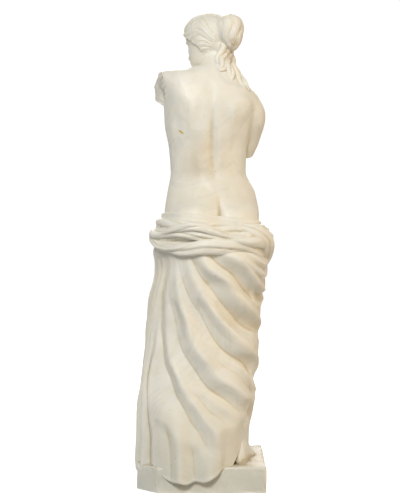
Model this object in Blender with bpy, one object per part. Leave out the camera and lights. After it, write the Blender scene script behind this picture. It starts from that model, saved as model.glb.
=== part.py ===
"""A standing classical goddess, half draped, carved in one with her low plinth from white marble.

She faces -Y, her left side is towards +X, and +Z is up. Lengths are in metres. What follows the
figure itself is written as shares of the figure's height, and the head as shares of its own height.
"""

import math

import bmesh
import bpy
import numpy as np
from mathutils import Matrix, Vector

# Driving sizes.
FIGURE_HEIGHT = 0.766
FIGURE_SUNK = 0.011
PLINTH_HEIGHT = 0.045
PLINTH_WIDTH = 0.218
PLINTH_DEPTH = 0.196
PLINTH_TO_LEFT = 0.006
PLINTH_AHEAD = 0.016
PLINTH_CORNER_CUT = 0.036
PLINTH_EDGE_ROUND = 0.004
SUNK_IN_PLINTH = 0.012

# How finely the solid is faceted.
COLUMNS_PER_FOLD = 3
BODY_ROWS = 36
HEAD_COLUMNS = 28
HEAD_ROWS = 22
BUN_COLUMNS = 14
BUN_ROWS = 8

STATUE_NAME = "marble_statue"
MARBLE_COLOUR = (0.80, 0.77, 0.69, 1.0)

# Body rings from the ground up, in shares of the figure's height: rise of the ring's middle,
# half width, half depth, shift to her left, shift back.
BODY_RINGS = (
    (0.000, 0.105, 0.106, 0.028, 0.000),
    (0.070, 0.105, 0.101, 0.026, 0.000),
    (0.160, 0.113, 0.097, 0.020, -0.002),
    (0.280, 0.112, 0.093, 0.010, -0.004),
    (0.380, 0.110, 0.091, 0.004, 0.000),
    (0.460, 0.107, 0.089, -0.006, 0.006),
    (0.520, 0.107, 0.085, -0.013, 0.009),
    (0.562, 0.106, 0.078, -0.016, 0.009),
    (0.605, 0.099, 0.068, -0.015, 0.004),
    (0.655, 0.084, 0.058, -0.008, -0.003),
    (0.700, 0.086, 0.057, -0.007, -0.002),
    (0.750, 0.097, 0.062, -0.009, 0.002),
    (0.795, 0.105, 0.064, -0.013, 0.005),
    (0.834, 0.112, 0.058, -0.008, 0.006),
    (0.862, 0.095, 0.049, -0.006, 0.006),
    (0.877, 0.063, 0.043, -0.013, 0.003),
    (0.890, 0.041, 0.038, -0.022, -0.003),
    (0.908, 0.034, 0.036, -0.020, -0.010),
    (0.945, 0.034, 0.036, -0.014, -0.016),
)
# How far each side of a ring hangs below its middle, where the rings climb over the shoulders.
SHOULDER_DROP = ((0.75, 0.0, 0.0), (0.795, -0.014, 0.004), (0.834, -0.028, 0.018), (0.862, -0.012, 0.024),
                 (0.877, -0.002, 0.018), (0.890, 0.0, 0.008), (0.908, 0.0, 0.0))
# How far she turns to her left at each rise, in degrees.
TURN_OF_BODY = ((0.0, 0.0), (0.30, 5.0), (0.50, 12.0), (0.57, 13.0), (0.70, 8.0), (0.80, 4.0), (0.88, 10.0),
                (0.95, 30.0))

MID_BACK = 90.0
MID_BACK_FOLD = 7 + 1 / 3
MID_FRONT = 270.0
# Swellings and hollows in pairs: angle from the middle line, rise, spread in degrees, spread up,
# spread down, height.
BACK_PAIRS = (
    (37.0, 0.800, 17.0, 0.030, 0.040, 0.0060),
    (15.0, 0.680, 12.0, 0.070, 0.050, 0.0020),
    (33.0, 0.552, 25.0, 0.040, 0.050, 0.0150),
    (15.0, 0.616, 7.0, 0.012, 0.012, -0.0016),
)
FRONT_PAIRS = (
    (30.0, 0.762, 21.0, 0.046, 0.030, 0.0270),
    (42.0, 0.610, 13.0, 0.030, 0.030, 0.0060),
    (24.0, 0.700, 12.0, 0.016, 0.016, 0.0040),
)
# On the middle lines: angle, rise, spread in degrees, spread up, spread down, height.
MIDDLE_FORMS = (
    (MID_BACK, 0.835, 6.0, 0.020, 0.030, -0.0020),
    (MID_BACK, 0.690, 8.0, 0.090, 0.060, -0.0040),
    (MID_BACK, 0.550, 5.0, 0.028, 0.030, -0.0130),
    (MID_FRONT, 0.770, 6.0, 0.050, 0.040, -0.0060),
    (MID_FRONT, 0.665, 4.0, 0.030, 0.030, -0.0030),
    (MID_FRONT, 0.625, 4.0, 0.006, 0.006, -0.0060),
    (MID_FRONT, 0.590, 30.0, 0.035, 0.030, 0.0100),
    (MID_FRONT, 0.850, 4.0, 0.012, 0.012, -0.0050),
)

# The mantle. Its folds run from under the rolled edge to the hem, in groups that go once round
# her: number of folds, first and last angle at the top, first and last angle at the hem, height
# at the top and at the hem, and 0 where sharp crests hang or 1 where broad ridges lie side by side.
FOLD_GROUPS = (
    (3, -20.0, 0.0, -22.0, 30.0, 0.0120, 0.0160, 0.0),
    (3, 9.0, 27.0, 62.0, 122.0, 0.0120, 0.0050, 1.0),
    (6, 41.0, 126.0, 148.0, 262.0, 0.0160, 0.0090, 1.0),
    (2, 154.0, 194.0, 277.0, 290.0, 0.0100, 0.0090, 1.0),
    (5, 226.0, 314.0, 300.0, 330.0, 0.0140, 0.0150, 0.0),
)
FOLD_CREST = 0.0090
CLOTH_TOP = 0.548
CLOTH_TILT = 0.014
CLOTH_THICKNESS = 0.006
FOLDS_BEGIN = 0.482
HEM_LEVEL = -0.009
# Where the hem hangs over the plinth's edge behind: angle, spread in degrees, drop.
HEM_DROP = (74.0, 34.0, 0.011)
# Where the hem lifts over the feet: angle, spread in degrees, lift.
HEM_LIFTS = ((46.0, 9.0, 0.013), (119.0, 10.0, 0.014), (156.0, 20.0, 0.068), (236.0, 26.0, 0.042),
             (306.0, 24.0, 0.048))
# Where a limb presses through the mantle or the hem flares: angle, rise, spread in degrees, spread up,
# spread down, height.
LIMBS = (
    (300.0, 0.290, 26.0, 0.13, 0.12, 0.026),
    (238.0, 0.340, 24.0, 0.14, 0.16, 0.010),
    (122.0, 0.440, 34.0, 0.06, 0.10, 0.012),
    (60.0, 0.440, 30.0, 0.06, 0.10, 0.008),
    (136.0, 0.200, 24.0, 0.08, 0.10, 0.008),
    (72.0, 0.000, 12.0, 0.16, 0.10, 0.006),
    (112.0, 0.000, 9.0, 0.11, 0.10, 0.008),
)
# Slack folds that hang across her right hip: rise at their lowest, sag, height.
SWAGS = ((0.446, 0.026, 0.0060), (0.415, 0.034, 0.0065), (0.378, 0.044, 0.0050))
SWAG_TURN = 146.0
SWAG_SPREAD = 36.0
SWAG_WIDTH = 0.0100

# The rolled upper edge of the mantle: bands of gathered cloth that ride over each other as they go
# round her hips. Rise, half height, half thickness, waver of its rise, waver of its size, start.
BANDS = (
    (0.5300, 0.0130, 0.0120, 0.0050, 0.25, 0.0),
    (0.5100, 0.0185, 0.0215, 0.0060, 0.28, 2.2),
    (0.4890, 0.0165, 0.0205, 0.0070, 0.30, 4.1),
)
BAND_DIP_IN_FRONT = 0.024
BAND_TILT = 0.006
# Where the bands are gathered thickest: angle, spread in degrees, share by which they grow.
BAND_GATHER = (156.0, 34.0, 0.35)
BAND_POINTS = 36
BAND_SECTION_POINTS = 8
# The gathered end of the mantle that hangs over her right hip: points of its middle line in shares of
# the figure's height, and its half width at each.
TUCKED_END = ((-0.080, 0.086, 0.530), (-0.110, 0.074, 0.517), (-0.131, 0.048, 0.497), (-0.136, 0.022, 0.470),
              (-0.125, 0.004, 0.438))
TUCKED_RADII = (0.012, 0.019, 0.020, 0.014, 0.007)

# Her head, in shares of its own height: rise, half width, reach of the face, reach of the back.
HEAD_HEIGHT = 0.127
HEAD_CENTRE = (-0.006, -0.018, 0.937)
HEAD_TURN = 54.0
HEAD_BOW = 9.0
HEAD_LEAN = 3.0
HEAD_RINGS = (
    (-0.010, 0.060, 0.290, -0.160),
    (0.020, 0.130, 0.345, -0.020),
    (0.090, 0.204, 0.370, 0.060),
    (0.200, 0.262, 0.370, 0.160),
    (0.300, 0.296, 0.366, 0.270),
    (0.400, 0.318, 0.352, 0.360),
    (0.500, 0.338, 0.350, 0.425),
    (0.590, 0.346, 0.374, 0.455),
    (0.680, 0.345, 0.372, 0.462),
    (0.780, 0.325, 0.348, 0.435),
    (0.880, 0.265, 0.280, 0.355),
    (0.955, 0.165, 0.175, 0.230),
    (0.992, 0.060, 0.065, 0.085),
)
# Forms of a calm, regular face: angle from its middle, rise, spread in degrees, spread up and
# down, height. The paired ones are made on both sides.
FACE_MIDDLE = (
    (0.0, 0.232, 17.0, 0.018, 0.016, 0.024),
    (0.0, 0.184, 14.0, 0.016, 0.020, 0.024),
    (0.0, 0.136, 14.0, 0.020, 0.020, -0.016),
    (0.0, 0.055, 17.0, 0.040, 0.040, 0.024),
)
FACE_PAIRS = (
    (20.0, 0.590, 13.0, 0.020, 0.020, 0.012),
    (20.0, 0.512, 11.0, 0.040, 0.036, -0.044),
    (20.5, 0.508, 8.5, 0.024, 0.024, 0.026),
    (36.0, 0.415, 13.0, 0.050, 0.050, 0.014),
    (8.5, 0.315, 4.5, 0.018, 0.018, 0.016),
)
NOSE_RISES = (0.285, 0.312, 0.340, 0.440, 0.570, 0.640)
NOSE_HEIGHTS = (0.000, 0.070, 0.092, 0.056, 0.020, 0.000)
NOSE_SPREAD = 7.5
HAIRLINE_TURNS = (0.0, 30.0, 55.0, 75.0, 100.0, 140.0, 180.0)
HAIRLINE_RISES = (0.830, 0.760, 0.640, 0.520, 0.360, 0.250, 0.230)
HAIR_THICKNESS = 0.034
HAIR_LOCKS = 9
HAIR_LOCK_HEIGHT = 0.016
HAIR_AXIS_LIFT = 24.0
HEAD_CROWDING = 1.35
FILLET_PLACE = -0.30
FILLET_HALF_WIDTH = 0.035
FILLET_HEIGHT = 0.020

# The knot of hair, in shares of the head's height: distance behind its centre, rise, half sizes
# across, out and up, and the number of strands across it.
BUN_REACH = 0.520
BUN_RISE = 0.560
BUN_HALF_SIZES = (0.225, 0.210, 0.315)
BUN_STRANDS = 7
BUN_STRAND_HEIGHT = 0.022
BUN_TAPER = 0.32

# Loose locks that lie on the nape: angle and rise of the points of each one's middle line.
NAPE_LOCKS = (
    ((94.0, 0.935), (103.0, 0.916), (96.0, 0.899), (106.0, 0.884), (101.0, 0.872)),
    ((118.0, 0.936), (125.0, 0.914), (116.0, 0.894), (126.0, 0.875), (120.0, 0.858)),
    ((140.0, 0.936), (148.0, 0.914), (138.0, 0.893), (147.0, 0.872), (139.0, 0.853), (143.0, 0.841)),
    ((158.0, 0.930), (164.0, 0.909), (155.0, 0.889), (161.0, 0.872)),
)
LOCK_RADIUS = 0.0130
LOCK_TIP_SHARE = 0.50

# What is left of her right arm, in shares of the figure's height: points of its middle line, and
# the half width of the arm at each.
ARM_LINE = ((-0.060, 0.006, 0.815), (-0.088, 0.002, 0.803), (-0.102, -0.012, 0.775), (-0.096, -0.036, 0.735),
            (-0.080, -0.056, 0.690))
ARM_RADII = (0.026, 0.0330, 0.0335, 0.0300, 0.0270)
ARM_POINTS = 12
ARM_RINGS = 8
# Her left arm is gone: its line ends past the break that cuts it.
LOST_ARM_LINE = ((0.046, 0.006, 0.848), (0.076, 0.004, 0.840), (0.096, 0.000, 0.826), (0.104, -0.004, 0.804))
LOST_ARM_RADII = (0.024, 0.0300, 0.0340, 0.0320)
# The break: how far out and how high its middle lies, how it leans, and how rough it is.
BREAK_REACH = 0.099
BREAK_RISE = 0.820
BREAK_HALF_SIZE = 0.060
BREAK_TURN = 18.0
BREAK_LEAN = 5.0
BREAK_ROUGHNESS = 0.0025

# Her feet, in shares of the figure's height: heel place, direction in degrees, length.
FEET = (
    (-0.066, 0.070, -8.0, 0.150),
    (0.070, 0.000, 24.0, 0.144),
)
# Sections of a foot from heel to toe: share of its length, half width, height.
FOOT_SECTIONS = ((0.00, 0.085, 0.16), (0.06, 0.150, 0.40), (0.20, 0.175, 0.52), (0.36, 0.170, 0.46),
                 (0.55, 0.195, 0.32), (0.72, 0.225, 0.20), (0.88, 0.215, 0.14), (1.00, 0.130, 0.08))
FOOT_POINTS = 10
ANKLE_RADIUS = 0.0225
ANKLE_TOP = 0.085


def smooth(knots, values, at):
    """A cubic curve through the values that never overshoots between two of them."""
    knots = np.asarray(knots, float)
    values = np.asarray(values, float)
    gaps = np.diff(knots)
    slopes = np.diff(values) / gaps
    before, after = slopes[:-1], slopes[1:]
    agree = before * after > 0
    middle = np.where(agree, 2 * before * after / np.where(agree, before + after, 1.0), 0.0)
    tangents = np.concatenate(([slopes[0]], middle, [slopes[-1]]))
    at = np.clip(at, knots[0], knots[-1])
    cell = np.clip(np.searchsorted(knots, at, side="right") - 1, 0, len(gaps) - 1)
    gap = gaps[cell]
    t = (at - knots[cell]) / gap
    return (
        values[cell] * (1 + 2 * t) * (1 - t) ** 2
        + gap * tangents[cell] * t * (1 - t) ** 2
        + values[cell + 1] * t**2 * (3 - 2 * t)
        + gap * tangents[cell + 1] * t**2 * (t - 1)
    )


def step(value, width):
    """0 well below zero and 1 well above it, over the given width."""
    return 0.5 + 0.5 * np.tanh(value / width)


def apart(turn, centre):
    """The signed angle from centre to turn, in degrees, the short way round."""
    return (turn - centre + 180.0) % 360.0 - 180.0


def mound(turn, rise, centre, height_at, spread, up, down):
    """A rounded mound of height 1 at one place of the surface, with steep flanks."""
    away = apart(turn, centre) / spread
    above = (rise - height_at) / np.where(rise > height_at, up, down)
    return np.exp(-((away**2 + above**2) ** 1.5))


def fold_lines():
    """Angle at the top, angle at the hem, both heights and kind of each fold, in order round her."""
    lines = []
    for count, top_a, top_b, hem_a, hem_b, upper, lower, ridge in FOLD_GROUPS:
        for i in range(count):
            share = i / (count - 1)
            number = len(lines)
            uneven = math.sin(2.3 * number * number + 0.7)
            size = 1.0 + 0.35 * math.sin(1.9 * number + 0.5)
            top = top_a + (top_b - top_a) * share + 1.5 * uneven
            hem = hem_a + (hem_b - hem_a) * share + 4.0 * uneven
            lines.append((top, hem, upper * size, lower * size, ridge))
    first = lines[0]
    lines.append((first[0] + 360.0, first[1] + 360.0, *first[2:]))
    return np.array(lines)


def fold_angle(fold, down):
    """The angle round the figure at a place counted in folds, at a share of the way down."""
    lines = fold_lines()
    number = np.minimum(fold.astype(int), len(lines) - 2)
    between = fold - number
    left = lines[number, 0] + (lines[number, 1] - lines[number, 0]) * down
    right = lines[number + 1, 0] + (lines[number + 1, 1] - lines[number + 1, 0]) * down
    return left + (right - left) * between


def fold_height(fold, down, girth):
    """How far the cloth stands out: sharp crests with hanging hollows, or broad ridges between creases."""
    lines = fold_lines()
    number = np.minimum(fold.astype(int), len(lines) - 2)
    between = fold - number
    ease = between**2 * (3 - 2 * between)
    gap = (fold_angle(number + 1.0, down) - fold_angle(number + 0.0, down)) / 360.0 * girth
    upper, lower, ridge = (lines[number, i] * (1 - ease) + lines[number + 1, i] * ease for i in (2, 3, 4))
    from_line = gap * np.minimum(between, 1 - between)
    crest = 0.6 * np.exp(-((from_line / FOLD_CREST) ** 1.6)) + 0.4 * (1.0 - np.sin(np.pi * between))
    broad = np.sin(np.pi * between**1.2) ** 0.6
    reach = np.minimum(1.0, gap / (3.0 * FOLD_CREST))
    grows = step(down - 0.03, 0.04)
    return (upper * (1 - down) + lower * down) * reach * grows * (crest * (1 - ridge) + broad * ridge)


def hem_lift(turn):
    """How high the hem is above the plinth's top, round the figure."""
    middle, wide, drop = HEM_DROP
    lift = HEM_LEVEL - drop * np.exp(-((apart(turn, middle) / wide) ** 2))
    for centre, spread, height in HEM_LIFTS:
        lift = lift + height * np.exp(-((apart(turn, centre) / spread) ** 2))
    return lift


def swags(turn, rise):
    """Slack folds across her right hip, each hanging between two higher ends."""
    away = apart(turn, SWAG_TURN) / SWAG_SPREAD
    total = 0.0
    for lowest, sag, height in SWAGS:
        line = lowest + sag * away**2
        total = total + height * np.exp(-(((rise - line) / SWAG_WIDTH) ** 2)) * np.exp(-(away**2))
    return total


def body_form(turn, rise):
    """Bone and muscle above the mantle, as heights over the plain rings."""
    total = 0.0
    for sides, middle in ((BACK_PAIRS, MID_BACK), (FRONT_PAIRS, MID_FRONT)):
        for offset, at, spread, up, down, height in sides:
            for side in (-1.0, 1.0):
                total = total + height * mound(turn, rise, middle + side * offset, at, spread, up, down)
    for centre, at, spread, up, down, height in MIDDLE_FORMS:
        total = total + height * mound(turn, rise, centre, at, spread, up, down)
    return total


def limb_form(turn, rise):
    """The legs as they press through the mantle."""
    total = 0.0
    for centre, at, spread, up, down, height in LIMBS:
        total = total + height * mound(turn, rise, centre, at, spread, up, down)
    return total


def ring_knots():
    """Distances along the body's outline at which its rings stand."""
    rings = np.array(BODY_RINGS)
    steps = np.hypot(np.diff(rings[:, 0]), np.diff(rings[:, 1]))
    return np.concatenate(([0.0], np.cumsum(steps)))


def ring_sizes(along):
    """Rise, half width, half depth, shift left and shift back at distances along the outline."""
    rings = np.array(BODY_RINGS)
    return [smooth(ring_knots(), rings[:, i], along) for i in range(rings.shape[1])]


def along_at(rise):
    """The distance along the outline at which a ring has this rise."""
    rings = np.array(BODY_RINGS)
    fine = np.linspace(0.0, ring_knots()[-1], 400)
    return np.interp(rise, smooth(ring_knots(), rings[:, 0], fine), fine)


def body_surface(fold, along, swell=0.0):
    """Points of the draped body: place round her counted in folds, and distance up her outline."""
    rise, half_width, half_depth, left, back = ring_sizes(along)
    down = np.clip((FOLDS_BEGIN - rise) / FOLDS_BEGIN, 0.0, 1.0)
    folds = len(fold_lines()) - 1
    even = MID_BACK + (fold - MID_BACK_FOLD) / folds * 360.0
    on_skin = np.clip((rise - FOLDS_BEGIN) / 0.09, 0.0, 1.0)
    on_skin = on_skin**2 * (3 - 2 * on_skin)
    turn = fold_angle(fold, down) * (1 - on_skin) + even * on_skin

    angle = np.radians(turn)
    x = half_width * np.cos(angle)
    y = half_depth * np.sin(angle)
    girth = math.pi * (half_width + half_depth)
    in_cloth = step(CLOTH_TOP - rise, 0.0045)
    in_folds = step(FOLDS_BEGIN - rise, 0.012)
    height = body_form(turn, rise) + in_cloth * CLOTH_THICKNESS + swell
    height = height + in_folds * (limb_form(turn, rise) + fold_height(fold, down, girth) + swags(turn, rise))
    reach = np.hypot(x, y)
    x = x * (1 + height / reach)
    y = y * (1 + height / reach)

    drops = np.array(SHOULDER_DROP)
    slope_left = smooth(drops[:, 0], drops[:, 1], rise)
    slope_right = smooth(drops[:, 0], drops[:, 2], rise)
    sideways = np.cos(angle)
    z = rise - np.where(sideways > 0, slope_left, slope_right) * sideways**2
    z = z + CLOTH_TILT * np.cos(np.radians(turn - 30.0)) * np.exp(-(((rise - CLOTH_TOP) / 0.05) ** 2))
    z = z + hem_lift(turn) * np.clip(1.0 - rise / 0.25, 0.0, 1.0) ** 2

    turns = np.array(TURN_OF_BODY)
    twist = np.radians(smooth(turns[:, 0], turns[:, 1], rise))
    return np.stack((
        x * np.cos(twist) - y * np.sin(twist) + left,
        x * np.sin(twist) + y * np.cos(twist) + back,
        z,
    ), axis=-1)


def on_skin_at(turn, rise):
    """A point on the bare body, from its angle and rise."""
    folds = len(fold_lines()) - 1
    fold = MID_BACK_FOLD + (np.array(turn) - MID_BACK) / 360.0 * folds
    return body_surface(fold, along_at(np.array(rise)))


def body_rows():
    """Distances along the outline for the rows of the mesh, closer together at the mantle's edge."""
    fine = np.linspace(0.0, ring_knots()[-1], 600)
    rise = ring_sizes(fine)[0]
    density = np.where(rise < FOLDS_BEGIN, 0.8, 1.0) + 1.2 * np.exp(-(((rise - CLOTH_TOP) / 0.012) ** 2))
    density = density + 0.9 * np.exp(-(((rise - 0.79) / 0.07) ** 2))
    counted = np.concatenate(([0.0], np.cumsum(density[1:])))
    return np.interp(np.linspace(0.0, counted[-1], BODY_ROWS), counted, fine)


def formed(name, bm, smooth_faces=True):
    """An object from finished geometry: faces split into triangles and turned outwards."""
    bmesh.ops.triangulate(bm, faces=bm.faces, quad_method="SHORT_EDGE")
    bmesh.ops.recalc_face_normals(bm, faces=bm.faces)
    for face in bm.faces:
        face.smooth = smooth_faces
    mesh = bpy.data.meshes.new(name)
    bm.to_mesh(mesh)
    bm.free()
    return bpy.data.objects.new(name, mesh)


def skin(name, points, ring=False):
    """A closed skin over sections of points: with capped ends, or the last joined to the first."""
    rows, columns = points.shape[:2]
    bm = bmesh.new()
    grid = [[bm.verts.new(p) for p in row] for row in points]
    following = grid[1:] + grid[:1] if ring else grid[1:]
    for here, there in zip(grid, following):
        for j in range(columns):
            k = (j + 1) % columns
            bm.faces.new((here[j], here[k], there[k], there[j]))
    for end in () if ring else (grid[0], grid[-1]):
        centre = bm.verts.new(sum((v.co for v in end), Vector()) / columns)
        for j in range(columns):
            bm.faces.new((end[j], end[(j + 1) % columns], centre))
    return formed(name, bm)


def placed(points):
    """Shares of the figure's height, made metres."""
    return points * FIGURE_HEIGHT + np.array((0.0, 0.0, PLINTH_HEIGHT - FIGURE_SUNK))


def make_body():
    """Torso and mantle, from under the hem to inside the head."""
    folds = len(fold_lines()) - 1
    fold = np.linspace(0.0, folds, folds * COLUMNS_PER_FOLD, endpoint=False)[None, :]
    rings = body_surface(fold, body_rows()[:, None])
    hem = rings[0]
    middle = np.array((0.010, 0.0, 0.0))
    sunk = SUNK_IN_PLINTH / FIGURE_HEIGHT
    under = []
    for share, level in ((0.50, -sunk), (0.60, None), (0.93, None)):
        ring = middle + (hem - middle) * share
        ring[:, 2] = level if level is not None else hem[:, 2] - 0.003 + (0.93 - share) * 0.05
        under.append(ring)
    return skin("body", placed(np.concatenate((np.array(under), rings))))


def make_band(number, rise, half_height, half_thickness, wander, swelling, start):
    """One band of gathered cloth, wavering and swelling as it goes round her hips."""
    fold = np.linspace(0.0, len(fold_lines()) - 1, BAND_POINTS, endpoint=False)
    on_body = body_surface(fold, along_at(rise + 0.0 * fold))
    outward = on_body[:, :2] - on_body[:, :2].mean(0)
    outward = outward / np.linalg.norm(outward, axis=1)[:, None]
    angle = np.arctan2(outward[:, 1], outward[:, 0])
    place, wide, more = BAND_GATHER
    size = 1.0 + swelling * np.sin(2.0 * angle + start)
    size = size + more * np.exp(-((apart(np.degrees(angle), place) / wide) ** 2))
    level = rise - BAND_DIP_IN_FRONT * np.exp(-((apart(np.degrees(angle), MID_FRONT) / 60.0) ** 2))
    level = level + BAND_TILT * np.cos(angle) + wander * np.sin(3.0 * angle + 2.0 * start)
    section = np.linspace(0.0, 2 * math.pi, BAND_SECTION_POINTS, endpoint=False)[None, :]
    reach = (half_thickness * size)[:, None] * np.cos(section)
    points = np.stack((
        on_body[:, None, 0] + outward[:, None, 0] * reach,
        on_body[:, None, 1] + outward[:, None, 1] * reach,
        level[:, None] + (half_height * size)[:, None] * np.sin(section),
    ), axis=-1)
    return skin(f"band_{number}", placed(points), ring=True)


def head_axes():
    """Turns the head's own frame, face to -Y, into the figure's."""
    return (
        Matrix.Rotation(math.radians(HEAD_LEAN), 3, "Y")
        @ Matrix.Rotation(math.radians(HEAD_TURN), 3, "Z")
        @ Matrix.Rotation(math.radians(HEAD_BOW), 3, "X")
    )


def head_placed(points):
    """Head points, in shares of its height about its centre, made metres in the figure."""
    turned = points @ np.array(head_axes()).T
    return placed(turned * HEAD_HEIGHT + np.array(HEAD_CENTRE))


def hair_form(points, rise, turn):
    """The dressed hair over the skull: its body, the combed locks, and the fillet behind them."""
    line = np.interp(np.abs(turn), HAIRLINE_TURNS, HAIRLINE_RISES)
    hair = step(rise - line, 0.018)
    lift = math.radians(HAIR_AXIS_LIFT)
    along = -points[..., 1] * math.cos(lift) + (points[..., 2]) * math.sin(lift)
    upright = points[..., 1] * math.sin(lift) + points[..., 2] * math.cos(lift)
    round_axis = np.arctan2(points[..., 0], upright)
    wave = 0.22 * np.sin(9.0 * along + 2.0 * np.abs(round_axis))
    locks = np.abs(np.sin(HAIR_LOCKS * (np.abs(round_axis) + wave) * 0.5))
    fillet = step(FILLET_HALF_WIDTH - np.abs(along - FILLET_PLACE), 0.010)
    strands = HAIR_LOCK_HEIGHT * (locks - 0.5) * (1 - fillet) * step(0.50 - np.abs(along), 0.05)
    return hair * (HAIR_THICKNESS + strands + FILLET_HEIGHT * fillet)


def make_head():
    """Skull, face and dressed hair, as rings from under the chin to the crown."""
    rings = np.array(HEAD_RINGS)
    fine = np.linspace(rings[0, 0], rings[-1, 0], HEAD_ROWS)
    share = (fine - fine[0]) / (fine[-1] - fine[0])
    rise = (fine[0] + (fine[-1] - fine[0]) * (0.65 * share + 0.35 * np.sin(share * math.pi / 2)))[:, None]
    spaced = np.linspace(-1.0, 1.0, HEAD_COLUMNS, endpoint=False)[None, :]
    from_face = 180.0 * np.sign(spaced) * np.abs(spaced) ** HEAD_CROWDING
    turn = MID_FRONT + from_face
    half_width, face, behind = (smooth(rings[:, 0], rings[:, i], rise) for i in (1, 2, 3))
    angle = np.radians(turn)
    half_depth = (face + behind) / 2
    x = half_width * np.cos(angle)
    y = half_depth * np.sin(angle)
    form = 0.0
    for centre, at, spread, up, down, height in FACE_MIDDLE:
        form = form + height * mound(from_face, rise, centre, at, spread, up, down)
    for offset, at, spread, up, down, height in FACE_PAIRS:
        for side in (-1.0, 1.0):
            form = form + height * mound(from_face, rise, side * offset, at, spread, up, down)
    bridge = smooth(NOSE_RISES, NOSE_HEIGHTS, rise)
    form = form + bridge * np.exp(-((from_face / NOSE_SPREAD) ** 2))
    height_from_centre = rise - 0.5
    points = np.stack(np.broadcast_arrays(x, y + (behind - face) / 2, height_from_centre), axis=-1)
    form = form + hair_form(points, rise, from_face)
    reach = np.hypot(x, y)
    points[..., 0] *= 1 + form / reach
    points[..., 1] = y * (1 + form / reach) + (behind - face) / 2
    points[..., 2] += 0.4 * form * step(rise - 0.9, 0.04)
    return skin("head", head_placed(points))


def make_bun():
    """The knot of hair, with strands that run over it from top to bottom."""
    bm = bmesh.new()
    bmesh.ops.create_uvsphere(bm, u_segments=BUN_COLUMNS, v_segments=BUN_ROWS, radius=1.0)
    unit = np.array([v.co[:] for v in bm.verts])
    strand = np.abs(np.sin(BUN_STRANDS * 0.5 * np.arctan2(unit[:, 0], unit[:, 1]) + 0.8 * unit[:, 2]))
    size = np.array(BUN_HALF_SIZES) + BUN_STRAND_HEIGHT * (strand * np.hypot(unit[:, 0], unit[:, 1]))[:, None]
    size[:, :2] *= 1.0 + BUN_TAPER * unit[:, 2, None]
    place = unit * size + np.array((0.0, BUN_REACH, BUN_RISE - 0.5))
    for vert, point in zip(bm.verts, head_placed(place)):
        vert.co = point
    return formed("bun", bm)


def tube(name, line, radii, points_round, rings, flat=1.0):
    """A round tube along a smooth line, with its own half width at each point of the line."""
    line = np.array(line, float)
    knots = np.concatenate(([0.0], np.cumsum(np.linalg.norm(np.diff(line, axis=0), axis=1))))
    at = np.linspace(0.0, knots[-1], rings)
    centre = np.stack([smooth(knots, line[:, i], at) for i in range(3)], axis=-1)
    radius = smooth(knots, radii, at)[:, None, None]
    ahead = np.gradient(centre, axis=0)
    ahead = ahead / np.linalg.norm(ahead, axis=1)[:, None]
    across = np.cross(ahead, (0.0, 1.0, 0.0))
    across = across / np.linalg.norm(across, axis=1)[:, None]
    third = np.cross(across, ahead)
    angle = np.linspace(0.0, 2 * math.pi, points_round, endpoint=False)[None, :, None]
    ring = across[:, None, :] * np.cos(angle) + flat * third[:, None, :] * np.sin(angle)
    return skin(name, placed(centre[:, None, :] + radius * ring))


def make_lock(number, places):
    """A loose lock of hair that tapers down the nape."""
    turn, rise = np.array(places).T
    radii = np.linspace(LOCK_RADIUS, LOCK_RADIUS * LOCK_TIP_SHARE, len(places))
    return tube(f"lock_{number}", on_skin_at(turn, rise), radii, 8, 9)


def make_foot(number, heel_x, heel_y, direction, length):
    """A foot from heel to toes, flat underneath, with the ankle rising from it."""
    stations = np.array(FOOT_SECTIONS)
    angle = np.linspace(0.0, 2 * math.pi, FOOT_POINTS, endpoint=False)[None, :]
    across = stations[:, 1, None] * np.cos(angle)
    lift = stations[:, 2, None] * np.sin(angle)
    sole = -SUNK_IN_PLINTH / FIGURE_HEIGHT / length * 0.5
    lift = np.where(lift > 0, lift, sole)
    ahead = np.broadcast_to(-stations[:, 0, None], across.shape)
    points = np.stack((across, ahead, lift), axis=-1) * length
    turned = points @ np.array(Matrix.Rotation(math.radians(direction), 3, "Z")).T
    ground = FIGURE_SUNK / FIGURE_HEIGHT
    foot = skin(f"foot_{number}", placed(turned + np.array((heel_x, heel_y, ground))))
    ahead_of_heel = 0.22 * length
    x = heel_x + ahead_of_heel * math.sin(math.radians(direction))
    y = heel_y - ahead_of_heel * math.cos(math.radians(direction))
    line = ((x, y, ground + 0.02), (x, y, ground + 0.05), (x, y, ground + ANKLE_TOP))
    ankle = tube(f"ankle_{number}", line, (ANKLE_RADIUS, ANKLE_RADIUS * 0.92, ANKLE_RADIUS * 1.15), 10, 4)
    return [foot, ankle]


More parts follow.
